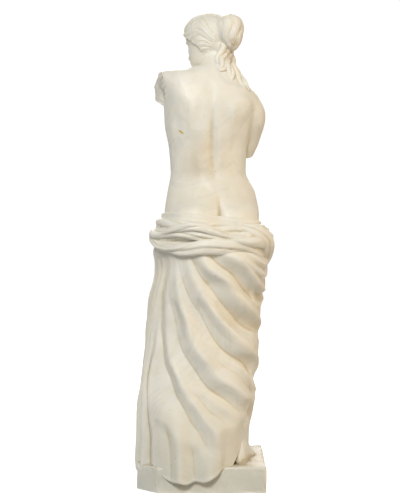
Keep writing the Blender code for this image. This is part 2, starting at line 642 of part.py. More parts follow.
def make_plinth():
    """A low block with rounded edges, one back corner of it cut away."""
    outline = bpy.data.curves.new("plinth", "CURVE")
    outline.dimensions = "2D"
    outline.fill_mode = "BOTH"
    outline.extrude = PLINTH_HEIGHT / 2
    right, left = PLINTH_TO_LEFT - PLINTH_WIDTH / 2, PLINTH_TO_LEFT + PLINTH_WIDTH / 2
    front, back = -PLINTH_DEPTH / 2 - PLINTH_AHEAD, PLINTH_DEPTH / 2 - PLINTH_AHEAD
    corners = (
        (right, front), (left, front), (left, back - PLINTH_CORNER_CUT),
        (left - PLINTH_CORNER_CUT, back), (right, back),
    )
    spline = outline.splines.new("POLY")
    spline.points.add(len(corners) - 1)
    for point, (x, y) in zip(spline.points, corners):
        point.co = (x, y, 0.0, 1.0)
    spline.use_cyclic_u = True
    curve = bpy.data.objects.new("plinth_outline", outline)
    bpy.context.scene.collection.objects.link(curve)
    curve.location.z = PLINTH_HEIGHT / 2
    bpy.context.view_layer.update()
    graph = bpy.context.evaluated_depsgraph_get()
    mesh = bpy.data.meshes.new_from_object(curve.evaluated_get(graph))
    mesh.transform(curve.matrix_world)
    bpy.data.objects.remove(curve)
    bm = bmesh.new()
    bm.from_mesh(mesh)
    bmesh.ops.remove_doubles(bm, verts=bm.verts, dist=1e-5)
    bmesh.ops.bevel(bm, geom=bm.edges[:], offset=PLINTH_EDGE_ROUND, segments=1, affect="EDGES")
    return formed("plinth", bm, smooth_faces=False)


def make_break():
    """The cutter that leaves a rough break where her left arm is gone."""
    bm = bmesh.new()
    bmesh.ops.create_grid(bm, x_segments=7, y_segments=7, size=BREAK_HALF_SIZE * FIGURE_HEIGHT)
    for v in bm.verts:
        rough = math.sin(97.0 * v.co.x + 1.0) * math.cos(83.0 * v.co.y) + 0.6 * math.sin(171.0 * (v.co.x - v.co.y))
        v.co.z += BREAK_ROUGHNESS * FIGURE_HEIGHT * rough
    far = bmesh.ops.extrude_face_region(bm, geom=bm.faces[:])
    moved = [g for g in far["geom"] if isinstance(g, bmesh.types.BMVert)]
    bmesh.ops.translate(bm, verts=moved, vec=(0.0, 0.0, BREAK_HALF_SIZE * FIGURE_HEIGHT))
    bmesh.ops.recalc_face_normals(bm, faces=bm.faces)
    facing = (
        Matrix.Translation(placed(np.array((BREAK_REACH, 0.004, BREAK_RISE))).tolist())
        @ Matrix.Rotation(math.radians(BREAK_TURN), 4, "Z")
        @ Matrix.Rotation(math.radians(90.0 + BREAK_LEAN), 4, "Y")
    )
    bm.transform(facing)
    return formed("break", bm, smooth_faces=False)


def centred(forms, kept):
    """Moves the forms so that the middle of the kept ones' bounding box stands over the origin."""
    points = np.array([v.co[:] for form in kept for v in form.data.vertices])
    middle = (points.min(0) + points.max(0)) / 2
    for form in forms:
        form.data.transform(Matrix.Translation((-middle[0], -middle[1], 0.0)))


def marble():
    """Warm white marble with a soft polish."""
    material = bpy.data.materials.new("marble")
    material.use_nodes = True
    shader = material.node_tree.nodes["Principled BSDF"]
    shader.inputs["Base Color"].default_value = MARBLE_COLOUR
    shader.inputs["Roughness"].default_value = 0.45
    shader.inputs["Metallic"].default_value = 0.0
    return material


def clear_scene():
    for obj in list(bpy.data.objects):
        bpy.data.objects.remove(obj)


def collection(name):
    made = bpy.data.collections.new(name)
    bpy.context.scene.collection.children.link(made)
    return made


def main():
    clear_scene()
    statue = collection("goddess_statue")
    helpers = collection("joined_forms")

    body = make_body()
    body.name = STATUE_NAME
    body.data.name = STATUE_NAME
    body.data.materials.append(marble())
    statue.objects.link(body)

    joined = [make_band(i, *band) for i, band in enumerate(BANDS)]
    joined.append(tube("tucked_end", TUCKED_END, TUCKED_RADII, 10, 8))
    joined += [make_head(), make_bun(), make_plinth()]
    joined += [make_lock(i, line) for i, line in enumerate(NAPE_LOCKS)]
    joined.append(tube("arm", ARM_LINE, ARM_RADII, ARM_POINTS, ARM_RINGS))
    for i, foot in enumerate(FEET):
        joined += make_foot(i, *foot)
    lost_arm = tube("lost_arm", LOST_ARM_LINE, LOST_ARM_RADII, ARM_POINTS, ARM_RINGS)
    cutter = make_break()
    centred([body, lost_arm, cutter] + joined, [body] + joined)
    changes = [("UNION", lost_arm), ("DIFFERENCE", cutter)] + [("UNION", form) for form in joined]
    for operation, form in changes:
        helpers.objects.link(form)
        form.hide_render = True
        form.display_type = "WIRE"
        change = body.modifiers.new(f"{operation.lower()}_{form.name}", "BOOLEAN")
        change.operation = operation
        change.object = form
        change.solver = "EXACT"


main()
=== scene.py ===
import math

import bpy
import numpy as np
from mathutils import Matrix, Vector


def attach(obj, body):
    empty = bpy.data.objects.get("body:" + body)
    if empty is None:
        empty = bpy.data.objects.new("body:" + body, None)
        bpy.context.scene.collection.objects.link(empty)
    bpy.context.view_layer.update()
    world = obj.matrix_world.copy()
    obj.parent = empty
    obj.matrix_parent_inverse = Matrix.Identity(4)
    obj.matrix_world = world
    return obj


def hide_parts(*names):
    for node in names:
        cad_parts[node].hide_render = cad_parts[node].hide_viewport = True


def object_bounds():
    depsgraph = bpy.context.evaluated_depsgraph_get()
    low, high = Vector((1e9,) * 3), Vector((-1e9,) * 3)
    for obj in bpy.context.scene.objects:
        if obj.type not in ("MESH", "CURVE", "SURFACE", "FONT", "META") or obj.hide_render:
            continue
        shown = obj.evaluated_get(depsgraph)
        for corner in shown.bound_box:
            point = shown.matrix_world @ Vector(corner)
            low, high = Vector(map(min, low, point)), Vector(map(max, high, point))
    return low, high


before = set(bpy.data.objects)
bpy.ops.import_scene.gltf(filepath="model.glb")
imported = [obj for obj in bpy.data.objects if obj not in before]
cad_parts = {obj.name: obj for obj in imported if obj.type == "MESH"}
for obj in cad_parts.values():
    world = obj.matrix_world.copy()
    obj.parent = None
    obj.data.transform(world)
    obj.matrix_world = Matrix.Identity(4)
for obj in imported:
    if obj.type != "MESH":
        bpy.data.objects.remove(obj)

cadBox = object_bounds()

# The statue faces -Y, her left side is towards +X and +Z is up. Forms are worked out in shares of her
# height and made metres by inMetres(). Angles go round her: 0 her left, 90 her back, 270 her front.
statue = {
    "height": 0.766,
    "ground": 0.034,  # metres above the floor at which her own zero lies
    "plinthTop": 0.045,
    "shift": (-0.00205, 0.00698),  # metres by which the CAD model was centred
}


# ---- curves, noise and mounds


def smoothCurve(knots, values, at):
    # a cubic through the values whose slopes are harmonic means, so that it never overshoots
    knots, values = np.asarray(knots, float), np.asarray(values, float)
    gaps = np.diff(knots)
    slopes = np.diff(values) / gaps
    before, after = slopes[:-1], slopes[1:]
    agree = before * after > 0
    middle = np.where(agree, 2 * before * after / np.where(agree, before + after, 1.0), 0.0)
    tangents = np.concatenate(([slopes[0]], middle, [slopes[-1]]))
    at = np.clip(at, knots[0], knots[-1])
    cell = np.clip(np.searchsorted(knots, at, side="right") - 1, 0, len(gaps) - 1)
    gap = gaps[cell]
    t = (at - knots[cell]) / gap
    return (
        values[cell] * (1 + 2 * t) * (1 - t) ** 2
        + gap * tangents[cell] * t * (1 - t) ** 2
        + values[cell + 1] * t**2 * (3 - 2 * t)
        + gap * tangents[cell + 1] * t**2 * (t - 1)
    )


def stepUp(value, width):
    # a soft step: half of one plus the hyperbolic tangent of value over width
    return 0.5 + 0.5 * np.tanh(value / width)


def eased(share):
    # 3t^2 - 2t^3 between 0 and 1, flat outside
    share = np.clip(share, 0.0, 1.0)
    return share**2 * (3 - 2 * share)


def bell(value):
    # exp of minus the square: 1 at 0, soft towards both sides
    return np.exp(-(value**2))


def sizeOfSine(angle):
    # rounded lobes between creases: the sine without its sign
    return np.abs(np.sin(angle))


def fullTurn(count):
    # that many angles round a circle, in one row
    return np.linspace(0.0, 2 * math.pi, count, endpoint=False)[None, :]


def together(*coordinates):
    # points out of three coordinates that fit each other's shape
    return np.stack(np.broadcast_arrays(*coordinates), axis=-1)


def apart(turn, centre):
    # signed angle from centre to turn in degrees, the short way round
    return (turn - centre + 180.0) % 360.0 - 180.0


def mound(turn, rise, centre, at, spread, up, down):
    # exp of minus the cubed distance from the middle, each direction in its own spreads
    away = apart(turn, centre) / spread
    above = (rise - at) / np.where(rise > at, up, down)
    return np.exp(-((away**2 + above**2) ** 1.5))


def ridge(turn, rise, centre, at, tilt, length, width, height):
    # a mound drawn out along a line that leans by tilt; both reaches in shares of her height
    across = apart(turn, centre) * body["perDegree"]
    above = rise - at
    lean = math.radians(tilt)
    along = across * math.cos(lean) + above * math.sin(lean)
    aside = above * math.cos(lean) - across * math.sin(lean)
    return height * bell(along / length) * bell(aside / width)


def waves(points, size, seed, count=14):
    # smooth noise of about -1 to 1: a sum of sines in seeded directions, 0.6 to 1.5 sizes long
    draw = np.random.default_rng(seed)
    ways = draw.normal(size=(count, 3))
    ways /= np.linalg.norm(ways, axis=1)[:, None]
    ways *= 2 * math.pi / (size * draw.uniform(0.6, 1.5, count))[:, None]
    starts = draw.uniform(0, 2 * math.pi, count)
    total = np.zeros(points.shape[:-1])
    for way, start in zip(ways, starts):
        total += np.sin(points @ way + start)
    return total / math.sqrt(count)


def lengthsAlong(line):
    # the distance from the first point of a line to each of its points
    return np.concatenate(([0.0], np.cumsum(np.linalg.norm(np.diff(line, axis=0), axis=1))))


def columnsAt(table, at):
    # the columns of a table after its first, read off at values of the first
    table = np.asarray(table, float)
    return [smoothCurve(table[:, 0], column, at) for column in table.T[1:]]


def inMetres(points):
    # shares of her height times the height, lifted to the ground and centred as the CAD model is
    x, y = statue["shift"]
    return points * statue["height"] + np.array((x, y, statue["ground"]))


# ---- meshes

carving = {
    # depth of the chisel's unevenness, its two lengths, and how far a piece may pass the CAD box
    "depth": 0.00007, "lengths": (0.02, 0.008), "fineShare": 0.6, "past": 0.0006,
    # rounds of smoothing, and the depth under the smoothed skin that counts as fully hollow
    "hollows": ((6, 0.0006), (20, 0.0026)), "smoothing": 0.6,
}


def gridTriangles(rows, columns, ring):
    # numbers of the corners of each four-sided cell of a skin that closes in its columns
    here = np.arange(rows * columns).reshape(rows, columns)
    following = np.roll(here, -1, axis=0) if ring else here[1:]
    here = here if ring else here[:-1]
    return here, np.roll(here, -1, axis=1), np.roll(following, -1, axis=1), following


def skinned(points, ring=False):
    # points[row, column] made a closed skin: cells split along the shorter diagonal, ends fanned
    # to their middle, and every face turned outwards by the sign of the enclosed volume
    rows, columns = points.shape[:2]
    flat = points.reshape(-1, 3)
    a, b, c, d = (cell.ravel() for cell in gridTriangles(rows, columns, ring))
    short = np.linalg.norm(flat[a] - flat[c], axis=1) < np.linalg.norm(flat[b] - flat[d], axis=1)
    first = np.where(short[:, None], np.stack((a, b, c), 1), np.stack((a, b, d), 1))
    second = np.where(short[:, None], np.stack((a, c, d), 1), np.stack((b, c, d), 1))
    faces = [first, second]
    if not ring:
        total = len(flat)
        flat = np.concatenate((flat, points[0].mean(0)[None], points[-1].mean(0)[None]))
        here = np.arange(columns)
        there = np.roll(here, -1)
        faces.append(np.stack((there, here, np.full(columns, total)), 1))
        last = (rows - 1) * columns
        faces.append(np.stack((last + here, last + there, np.full(columns, total + 1)), 1))
    faces = np.concatenate(faces)
    corners = flat[faces]
    volume = np.einsum("ij,ij->i", corners[:, 0], np.cross(corners[:, 1], corners[:, 2])).sum()
    return flat, faces if volume > 0 else faces[:, ::-1]


def meshOf(name, points, faces):
    # a mesh of triangles filled from whole arrays
    mesh = bpy.data.meshes.new(name)
    mesh.vertices.add(len(points))
    mesh.vertices.foreach_set("co", points.astype(np.float32).ravel())
    mesh.loops.add(faces.size)
    mesh.loops.foreach_set("vertex_index", faces.astype(np.int32).ravel())
    mesh.polygons.add(len(faces))
    mesh.polygons.foreach_set("loop_start", np.arange(0, faces.size, 3, dtype=np.int32))
    mesh.update(calc_edges=True)
    return mesh


def formOf(name, points, faces):
    # a working object with a material of its own name, so that its faces can be told after a union
    form = bpy.data.objects.new(name, meshOf(name, points, faces))
    bpy.context.scene.collection.objects.link(form)
    form.data.materials.append(bpy.data.materials.new(name))
    return form


def united(base, changes):
    # the base with each form added to it or cut from it by exact Booleans; gives its points, its
    # triangles, and the name of the form that each triangle came from
    for operation, form in changes:
        change = base.modifiers.new(form.name, "BOOLEAN")
        change.operation = operation
        change.object = form
        change.solver = "EXACT"
        change.material_mode = "TRANSFER"
    graph = bpy.context.evaluated_depsgraph_get()
    mesh = bpy.data.meshes.new_from_object(base.evaluated_get(graph))
    mesh.calc_loop_triangles()
    points = np.empty(len(mesh.vertices) * 3)
    mesh.vertices.foreach_get("co", points)
    count = len(mesh.loop_triangles)
    faces = np.empty(count * 3, dtype=np.int32)
    mesh.loop_triangles.foreach_get("vertices", faces)
    owner = np.empty(count, dtype=np.int32)
    mesh.loop_triangles.foreach_get("polygon_index", owner)
    slots = np.empty(len(mesh.polygons), dtype=np.int32)
    mesh.polygons.foreach_get("material_index", slots)
    names = np.array([material.name for material in mesh.materials])
    source = names[slots[owner]]
    for form in [base] + [form for operation, form in changes]:
        bpy.data.objects.remove(form)
    for name in names:
        bpy.data.materials.remove(bpy.data.materials[name])
    return points.reshape(-1, 3), faces.reshape(-1, 3), source


def edgesOf(faces):
    # every edge once, as pairs of point numbers
    pairs = np.sort(np.concatenate((faces[:, :2], faces[:, 1:], faces[:, ::2])), axis=1)
    return np.unique(pairs, axis=0)


def relaxed(points, edges, rounds, strength):
    # each round moves every point by strength towards the mean of its neighbours
    count = len(points)
    both = np.concatenate((edges, edges[:, ::-1]))
    share = 1.0 / np.maximum(np.bincount(both[:, 0], minlength=count), 1)
    points = points.copy()
    for _ in range(rounds):
        for axis in range(3):
            mean = np.bincount(both[:, 0], points[both[:, 1], axis], count) * share
            points[:, axis] += strength * (mean - points[:, axis])
    return points


def nearSeam(faces, edges, marked, count, reach):
    # 1 on the points where marked faces meet the others, falling to 0 over reach edges
    inside = np.zeros(count, bool)
    outside = np.zeros(count, bool)
    inside[faces[marked].ravel()] = True
    outside[faces[~marked].ravel()] = True
    weight = (inside & outside).astype(float)
    for _ in range(reach):
        spread = weight.copy()
        np.maximum.at(spread, edges[:, 0], weight[edges[:, 1]] - 1.0 / reach)
        np.maximum.at(spread, edges[:, 1], weight[edges[:, 0]] - 1.0 / reach)
        weight = spread
    return eased(weight)


def outward(points, faces):
    # unit normals of the points: the sum of the faces' normals, weighted by their areas
    corners = points[faces]
    normal = np.cross(corners[:, 1] - corners[:, 0], corners[:, 2] - corners[:, 0])
    total = np.zeros_like(points)
    for corner in range(3):
        for axis in range(3):
            total[:, axis] += np.bincount(faces[:, corner], normal[:, axis], len(points))
    return total / np.maximum(np.linalg.norm(total, axis=1), 1e-12)[:, None]


def hollowness(points, faces, edges):
    # how deep each point lies under the mean of its surroundings, from about -1 on a ridge to 1
    normals = outward(points, faces)
    total = np.zeros(len(points))
    smoothed = points
    for rounds, size in carving["hollows"]:
        smoothed = relaxed(smoothed, edges, rounds, carving["smoothing"])
        total += np.clip(np.einsum("ij,ij->i", smoothed - points, normals) / size, -1.0, 1.0)
    return total / len(carving["hollows"])


def pointValues(mesh, name, values):
    # one number on each point for the material to read
    mesh.attributes.new(name, "FLOAT", "POINT").data.foreach_set("value", values.astype(np.float32))


def carvedPiece(name, points, faces, marble):
    # the finished piece: a slight unevenness of the chisel, and how hollow each place is
    coarse, fine = carving["lengths"]
    uneven = carving["depth"] * (waves(points, coarse, 3) + carving["fineShare"] * waves(points, fine, 4))
    points = points + outward(points, faces) * uneven[:, None]
    low, high = (np.array(corner) for corner in cadBox)
    print(f"{name}: {(low - points.min(0)).round(4)} {(points.max(0) - high).round(4)} outside the box")
    points = np.clip(points, low - carving["past"], high + carving["past"])
    mesh = meshOf(name, points, faces)
    mesh.polygons.foreach_set("use_smooth", np.ones(len(faces), bool))
    # the material paints shade into the hollows from this value, and pales the ridges
    pointValues(mesh, "hollow", hollowness(points, faces, edgesOf(faces)))
    mesh.materials.append(marble)
    piece = bpy.data.objects.new(name, mesh)
    bpy.context.scene.collection.objects.link(piece)
    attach(piece, "root")
    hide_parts("marble_statue")
    print(f"{name}: {len(faces)} triangles")
    return piece


def softenedSeams(points, faces, source, jobs):
    # near the edge of each named form, points move to a relaxed copy: name, reach in edges, rounds;
    # the broken face of an arm stays sharp
    edges = edgesOf(faces)
    for name, reach, rounds in jobs:
        weight = nearSeam(faces, edges, source == name, len(points), reach)
        if name == "lostArm":
            weight = weight * (1.0 - nearSeam(faces, edges, source == "break", len(points), 3))
        points = points + (relaxed(points, edges, rounds, 0.5) - points) * weight[:, None]
    return points


def tube(line, radii, around, rings, lobes=0, lobeHeight=0.0, twist=0.0, rounded=0.0):
    # a ring of the radius at each place carried along a smooth line, with lobes that twist along it:
    # the radius times one plus their height times the 0.7th power of a sine's size less 0.6
    line = np.array(line, float)
    knots = lengthsAlong(line)
    at = np.linspace(0.0, knots[-1], rings)
    centre = np.stack([smoothCurve(knots, line[:, i], at) for i in range(3)], axis=-1)
    radius = smoothCurve(knots, radii, at)[:, None]
    if rounded:  # the far end closes like half a ball over this share of the length
        close = np.clip((at / knots[-1] - 1 + rounded) / rounded, 0.0, 0.995)[:, None]
        radius = radius * np.sqrt(1 - close**2)
    ahead = np.gradient(centre, axis=0)
    ahead /= np.linalg.norm(ahead, axis=1)[:, None]
    across = np.cross(ahead, (0.0, 1.0, 0.0))
    across /= np.linalg.norm(across, axis=1)[:, None]
    third = np.cross(across, ahead)
    angle = fullTurn(around)
    if lobes:
        share = np.linspace(0.0, 1.0, rings)[:, None]
        lobe = sizeOfSine(lobes * 0.5 * angle + twist * share) ** 0.7
        radius = radius * (1.0 + lobeHeight * (lobe - 0.6))
    angle, radius = np.broadcast_arrays(angle, radius)
    ring = across[:, None, :] * np.cos(angle)[..., None] + third[:, None, :] * np.sin(angle)[..., None]
    return inMetres(centre[:, None, :] + radius[..., None] * ring)


# ---- the body under everything, as the CAD model has it

body = {
    "perDegree": 0.0016,  # the way round her that a degree stands for in the finer lines
    "bareFrom": 0.5,
    # rise of the ring's middle, half width, half depth, shift to her left, shift back
    "rings": (
        (0.0, 0.105, 0.106, 0.028, 0.0), (0.07, 0.105, 0.101, 0.026, 0.0),
        (0.16, 0.113, 0.097, 0.02, -0.002), (0.28, 0.112, 0.093, 0.01, -0.004),
        (0.38, 0.11, 0.091, 0.004, 0.0), (0.46, 0.107, 0.089, -0.006, 0.006),
        (0.52, 0.107, 0.085, -0.013, 0.009), (0.562, 0.106, 0.078, -0.016, 0.009),
        (0.605, 0.099, 0.068, -0.015, 0.004), (0.655, 0.084, 0.058, -0.008, -0.003),
        (0.7, 0.086, 0.057, -0.007, -0.002), (0.75, 0.097, 0.062, -0.009, 0.002),
        (0.795, 0.105, 0.064, -0.013, 0.005), (0.834, 0.112, 0.058, -0.008, 0.006),
        (0.862, 0.095, 0.049, -0.006, 0.006), (0.877, 0.063, 0.043, -0.013, 0.003),
        (0.89, 0.041, 0.038, -0.022, -0.003), (0.908, 0.034, 0.036, -0.02, -0.01),
        (0.945, 0.034, 0.036, -0.014, -0.016),
    ),
    # rise, and how far her left and right sides hang below the ring's middle
    "shoulderDrop": (
        (0.75, 0.0, 0.0), (0.795, -0.014, 0.004), (0.834, -0.028, 0.018), (0.862, -0.012, 0.024),
        (0.877, -0.002, 0.018), (0.89, 0.0, 0.008), (0.908, 0.0, 0.0),
    ),
    # rise, and how far the ring there is turned to her left
    "turn": (
        (0.0, 0.0), (0.3, 5.0), (0.5, 12.0), (0.57, 13.0), (0.7, 8.0), (0.8, 4.0), (0.88, 10.0),
        (0.95, 30.0),
    ),
    # pairs: angle from the middle line, rise, spread in degrees, spread up, spread down, height
    "backPairs": (
        (37.0, 0.8, 17.0, 0.03, 0.04, 0.0074), (15.0, 0.68, 12.0, 0.07, 0.05, 0.002),
        (33.0, 0.552, 25.0, 0.04, 0.05, 0.015), (15.0, 0.616, 7.0, 0.012, 0.012, -0.0016),
        (58.0, 0.77, 9.0, 0.03, 0.04, 0.002),
    ),
    "frontPairs": (
        (30.0, 0.762, 21.0, 0.046, 0.03, 0.027), (33.0, 0.757, 3.2, 0.0045, 0.0045, 0.0022),
        (42.0, 0.61, 13.0, 0.03, 0.03, 0.006), (24.0, 0.7, 12.0, 0.016, 0.016, 0.004),
        (14.0, 0.655, 9.0, 0.03, 0.03, 0.0018),
    ),
    # on a middle line: angle, rise, spread in degrees, spread up, spread down, height
    "middle": (
        (90.0, 0.835, 6.0, 0.02, 0.03, -0.002), (90.0, 0.7, 8.0, 0.09, 0.05, -0.0046),
        (90.0, 0.575, 12.0, 0.03, 0.04, -0.0026), (270.0, 0.77, 9.0, 0.05, 0.04, -0.005),
        (270.0, 0.665, 6.5, 0.04, 0.036, -0.0026), (270.0, 0.625, 3.2, 0.006, 0.007, -0.0075),
        (270.0, 0.59, 30.0, 0.035, 0.03, 0.01), (270.0, 0.85, 7.0, 0.014, 0.016, -0.0032),
    ),
    # finer lines: angle, rise, lean in degrees, half length, half width, height
    "lines": (
        (90.0, 0.54, 90.0, 0.034, 0.0052, -0.011), (90.0, 0.73, 90.0, 0.07, 0.007, -0.0012),
        (240.0, 0.853, 8.0, 0.04, 0.005, 0.0032), (300.0, 0.853, -8.0, 0.04, 0.005, 0.0032),
        (225.0, 0.578, -38.0, 0.034, 0.008, -0.0028), (315.0, 0.578, 38.0, 0.034, 0.008, -0.0028),
        (240.0, 0.722, 4.0, 0.03, 0.006, -0.0016), (300.0, 0.722, -4.0, 0.03, 0.006, -0.0016),
        (66.0, 0.776, 74.0, 0.03, 0.008, 0.003), (114.0, 0.776, -74.0, 0.03, 0.008, 0.003),
        (20.0, 0.705, 62.0, 0.05, 0.01, 0.0012), (160.0, 0.705, -62.0, 0.05, 0.01, 0.0012),
    ),
    # where a limb presses through the mantle or the hem flares
    "limbs": (
        (6.0, 0.05, 17.0, 0.11, 0.11, 0.0115), (300.0, 0.29, 26.0, 0.13, 0.12, 0.026),
        (238.0, 0.34, 24.0, 0.14, 0.16, 0.01), (122.0, 0.44, 34.0, 0.06, 0.1, 0.012),
        (60.0, 0.44, 30.0, 0.06, 0.1, 0.008), (136.0, 0.2, 24.0, 0.08, 0.1, 0.008),
        (72.0, 0.0, 12.0, 0.16, 0.1, 0.006), (112.0, 0.0, 9.0, 0.11, 0.1, 0.008),
    ),
}
rings = np.array(body["rings"])
ringKnots = np.concatenate(([0.0], np.cumsum(np.hypot(np.diff(rings[:, 0]), np.diff(rings[:, 1])))))


def ringSizes(along):
    # rise, half width, half depth, shift left and shift back at distances up the outline
    return [smoothCurve(ringKnots, rings[:, i], along) for i in range(5)]


def alongAt(rise):
    # the distance up the outline at which a ring has this rise
    fine = np.linspace(0.0, ringKnots[-1], 600)
    return np.interp(rise, smoothCurve(ringKnots, rings[:, 0], fine), fine)


def onRings(turn, along, height, drop=0.0):
    # an ellipse at each distance up the outline, swollen outwards by height, turned with the body;
    # over the shoulders its sides hang below its middle by the square of the cosine
    rise, halfWidth, halfDepth, left, back = ringSizes(along)
    angle = np.radians(turn)
    x, y = halfWidth * np.cos(angle), halfDepth * np.sin(angle)
    reach = np.hypot(x, y)
    x, y = x * (1 + height / reach), y * (1 + height / reach)
    sideways = np.cos(angle)
    leftDrop, rightDrop = columnsAt(body["shoulderDrop"], rise)
    z = rise - np.where(sideways > 0, leftDrop, rightDrop) * sideways**2 + drop
    twist = np.radians(columnsAt(body["turn"], rise)[0])
    return np.stack((
        x * np.cos(twist) - y * np.sin(twist) + left,
        x * np.sin(twist) + y * np.cos(twist) + back,
        z,
    ), axis=-1)


def bodyForm(turn, rise, bridged=False):
    # bone and muscle: a sum of mounds and leaning lines over the plain rings; cloth bridges hollows
    total = np.zeros(np.broadcast(turn, rise).shape)
    for pairs, middle in ((body["backPairs"], 90.0), (body["frontPairs"], 270.0)):
        for offset, *shape, height in pairs:
            for side in (-1.0, 1.0):
                total += height * mound(turn, rise, middle + side * offset, *shape)
    for *shape, height in body["middle"]:
        total += (0.0 if bridged and height < 0 else height) * mound(turn, rise, *shape)
    for line in () if bridged else body["lines"]:
        total += ridge(turn, rise, *line)
    return total


def limbForm(turn, rise):
    # the legs as they press through the cloth
    return sum(height * mound(turn, rise, *shape) for *shape, height in body["limbs"])


def torsoSkin(columns, rows):
    # bare skin from inside the mantle to inside the head
    turn = np.linspace(0.0, 360.0, columns, endpoint=False)[None, :]
    along = np.linspace(alongAt(body["bareFrom"]), ringKnots[-1], rows)[:, None]
    rise = ringSizes(along)[0]
    return inMetres(onRings(turn, along, bodyForm(turn, rise)))


# ---- the mantle

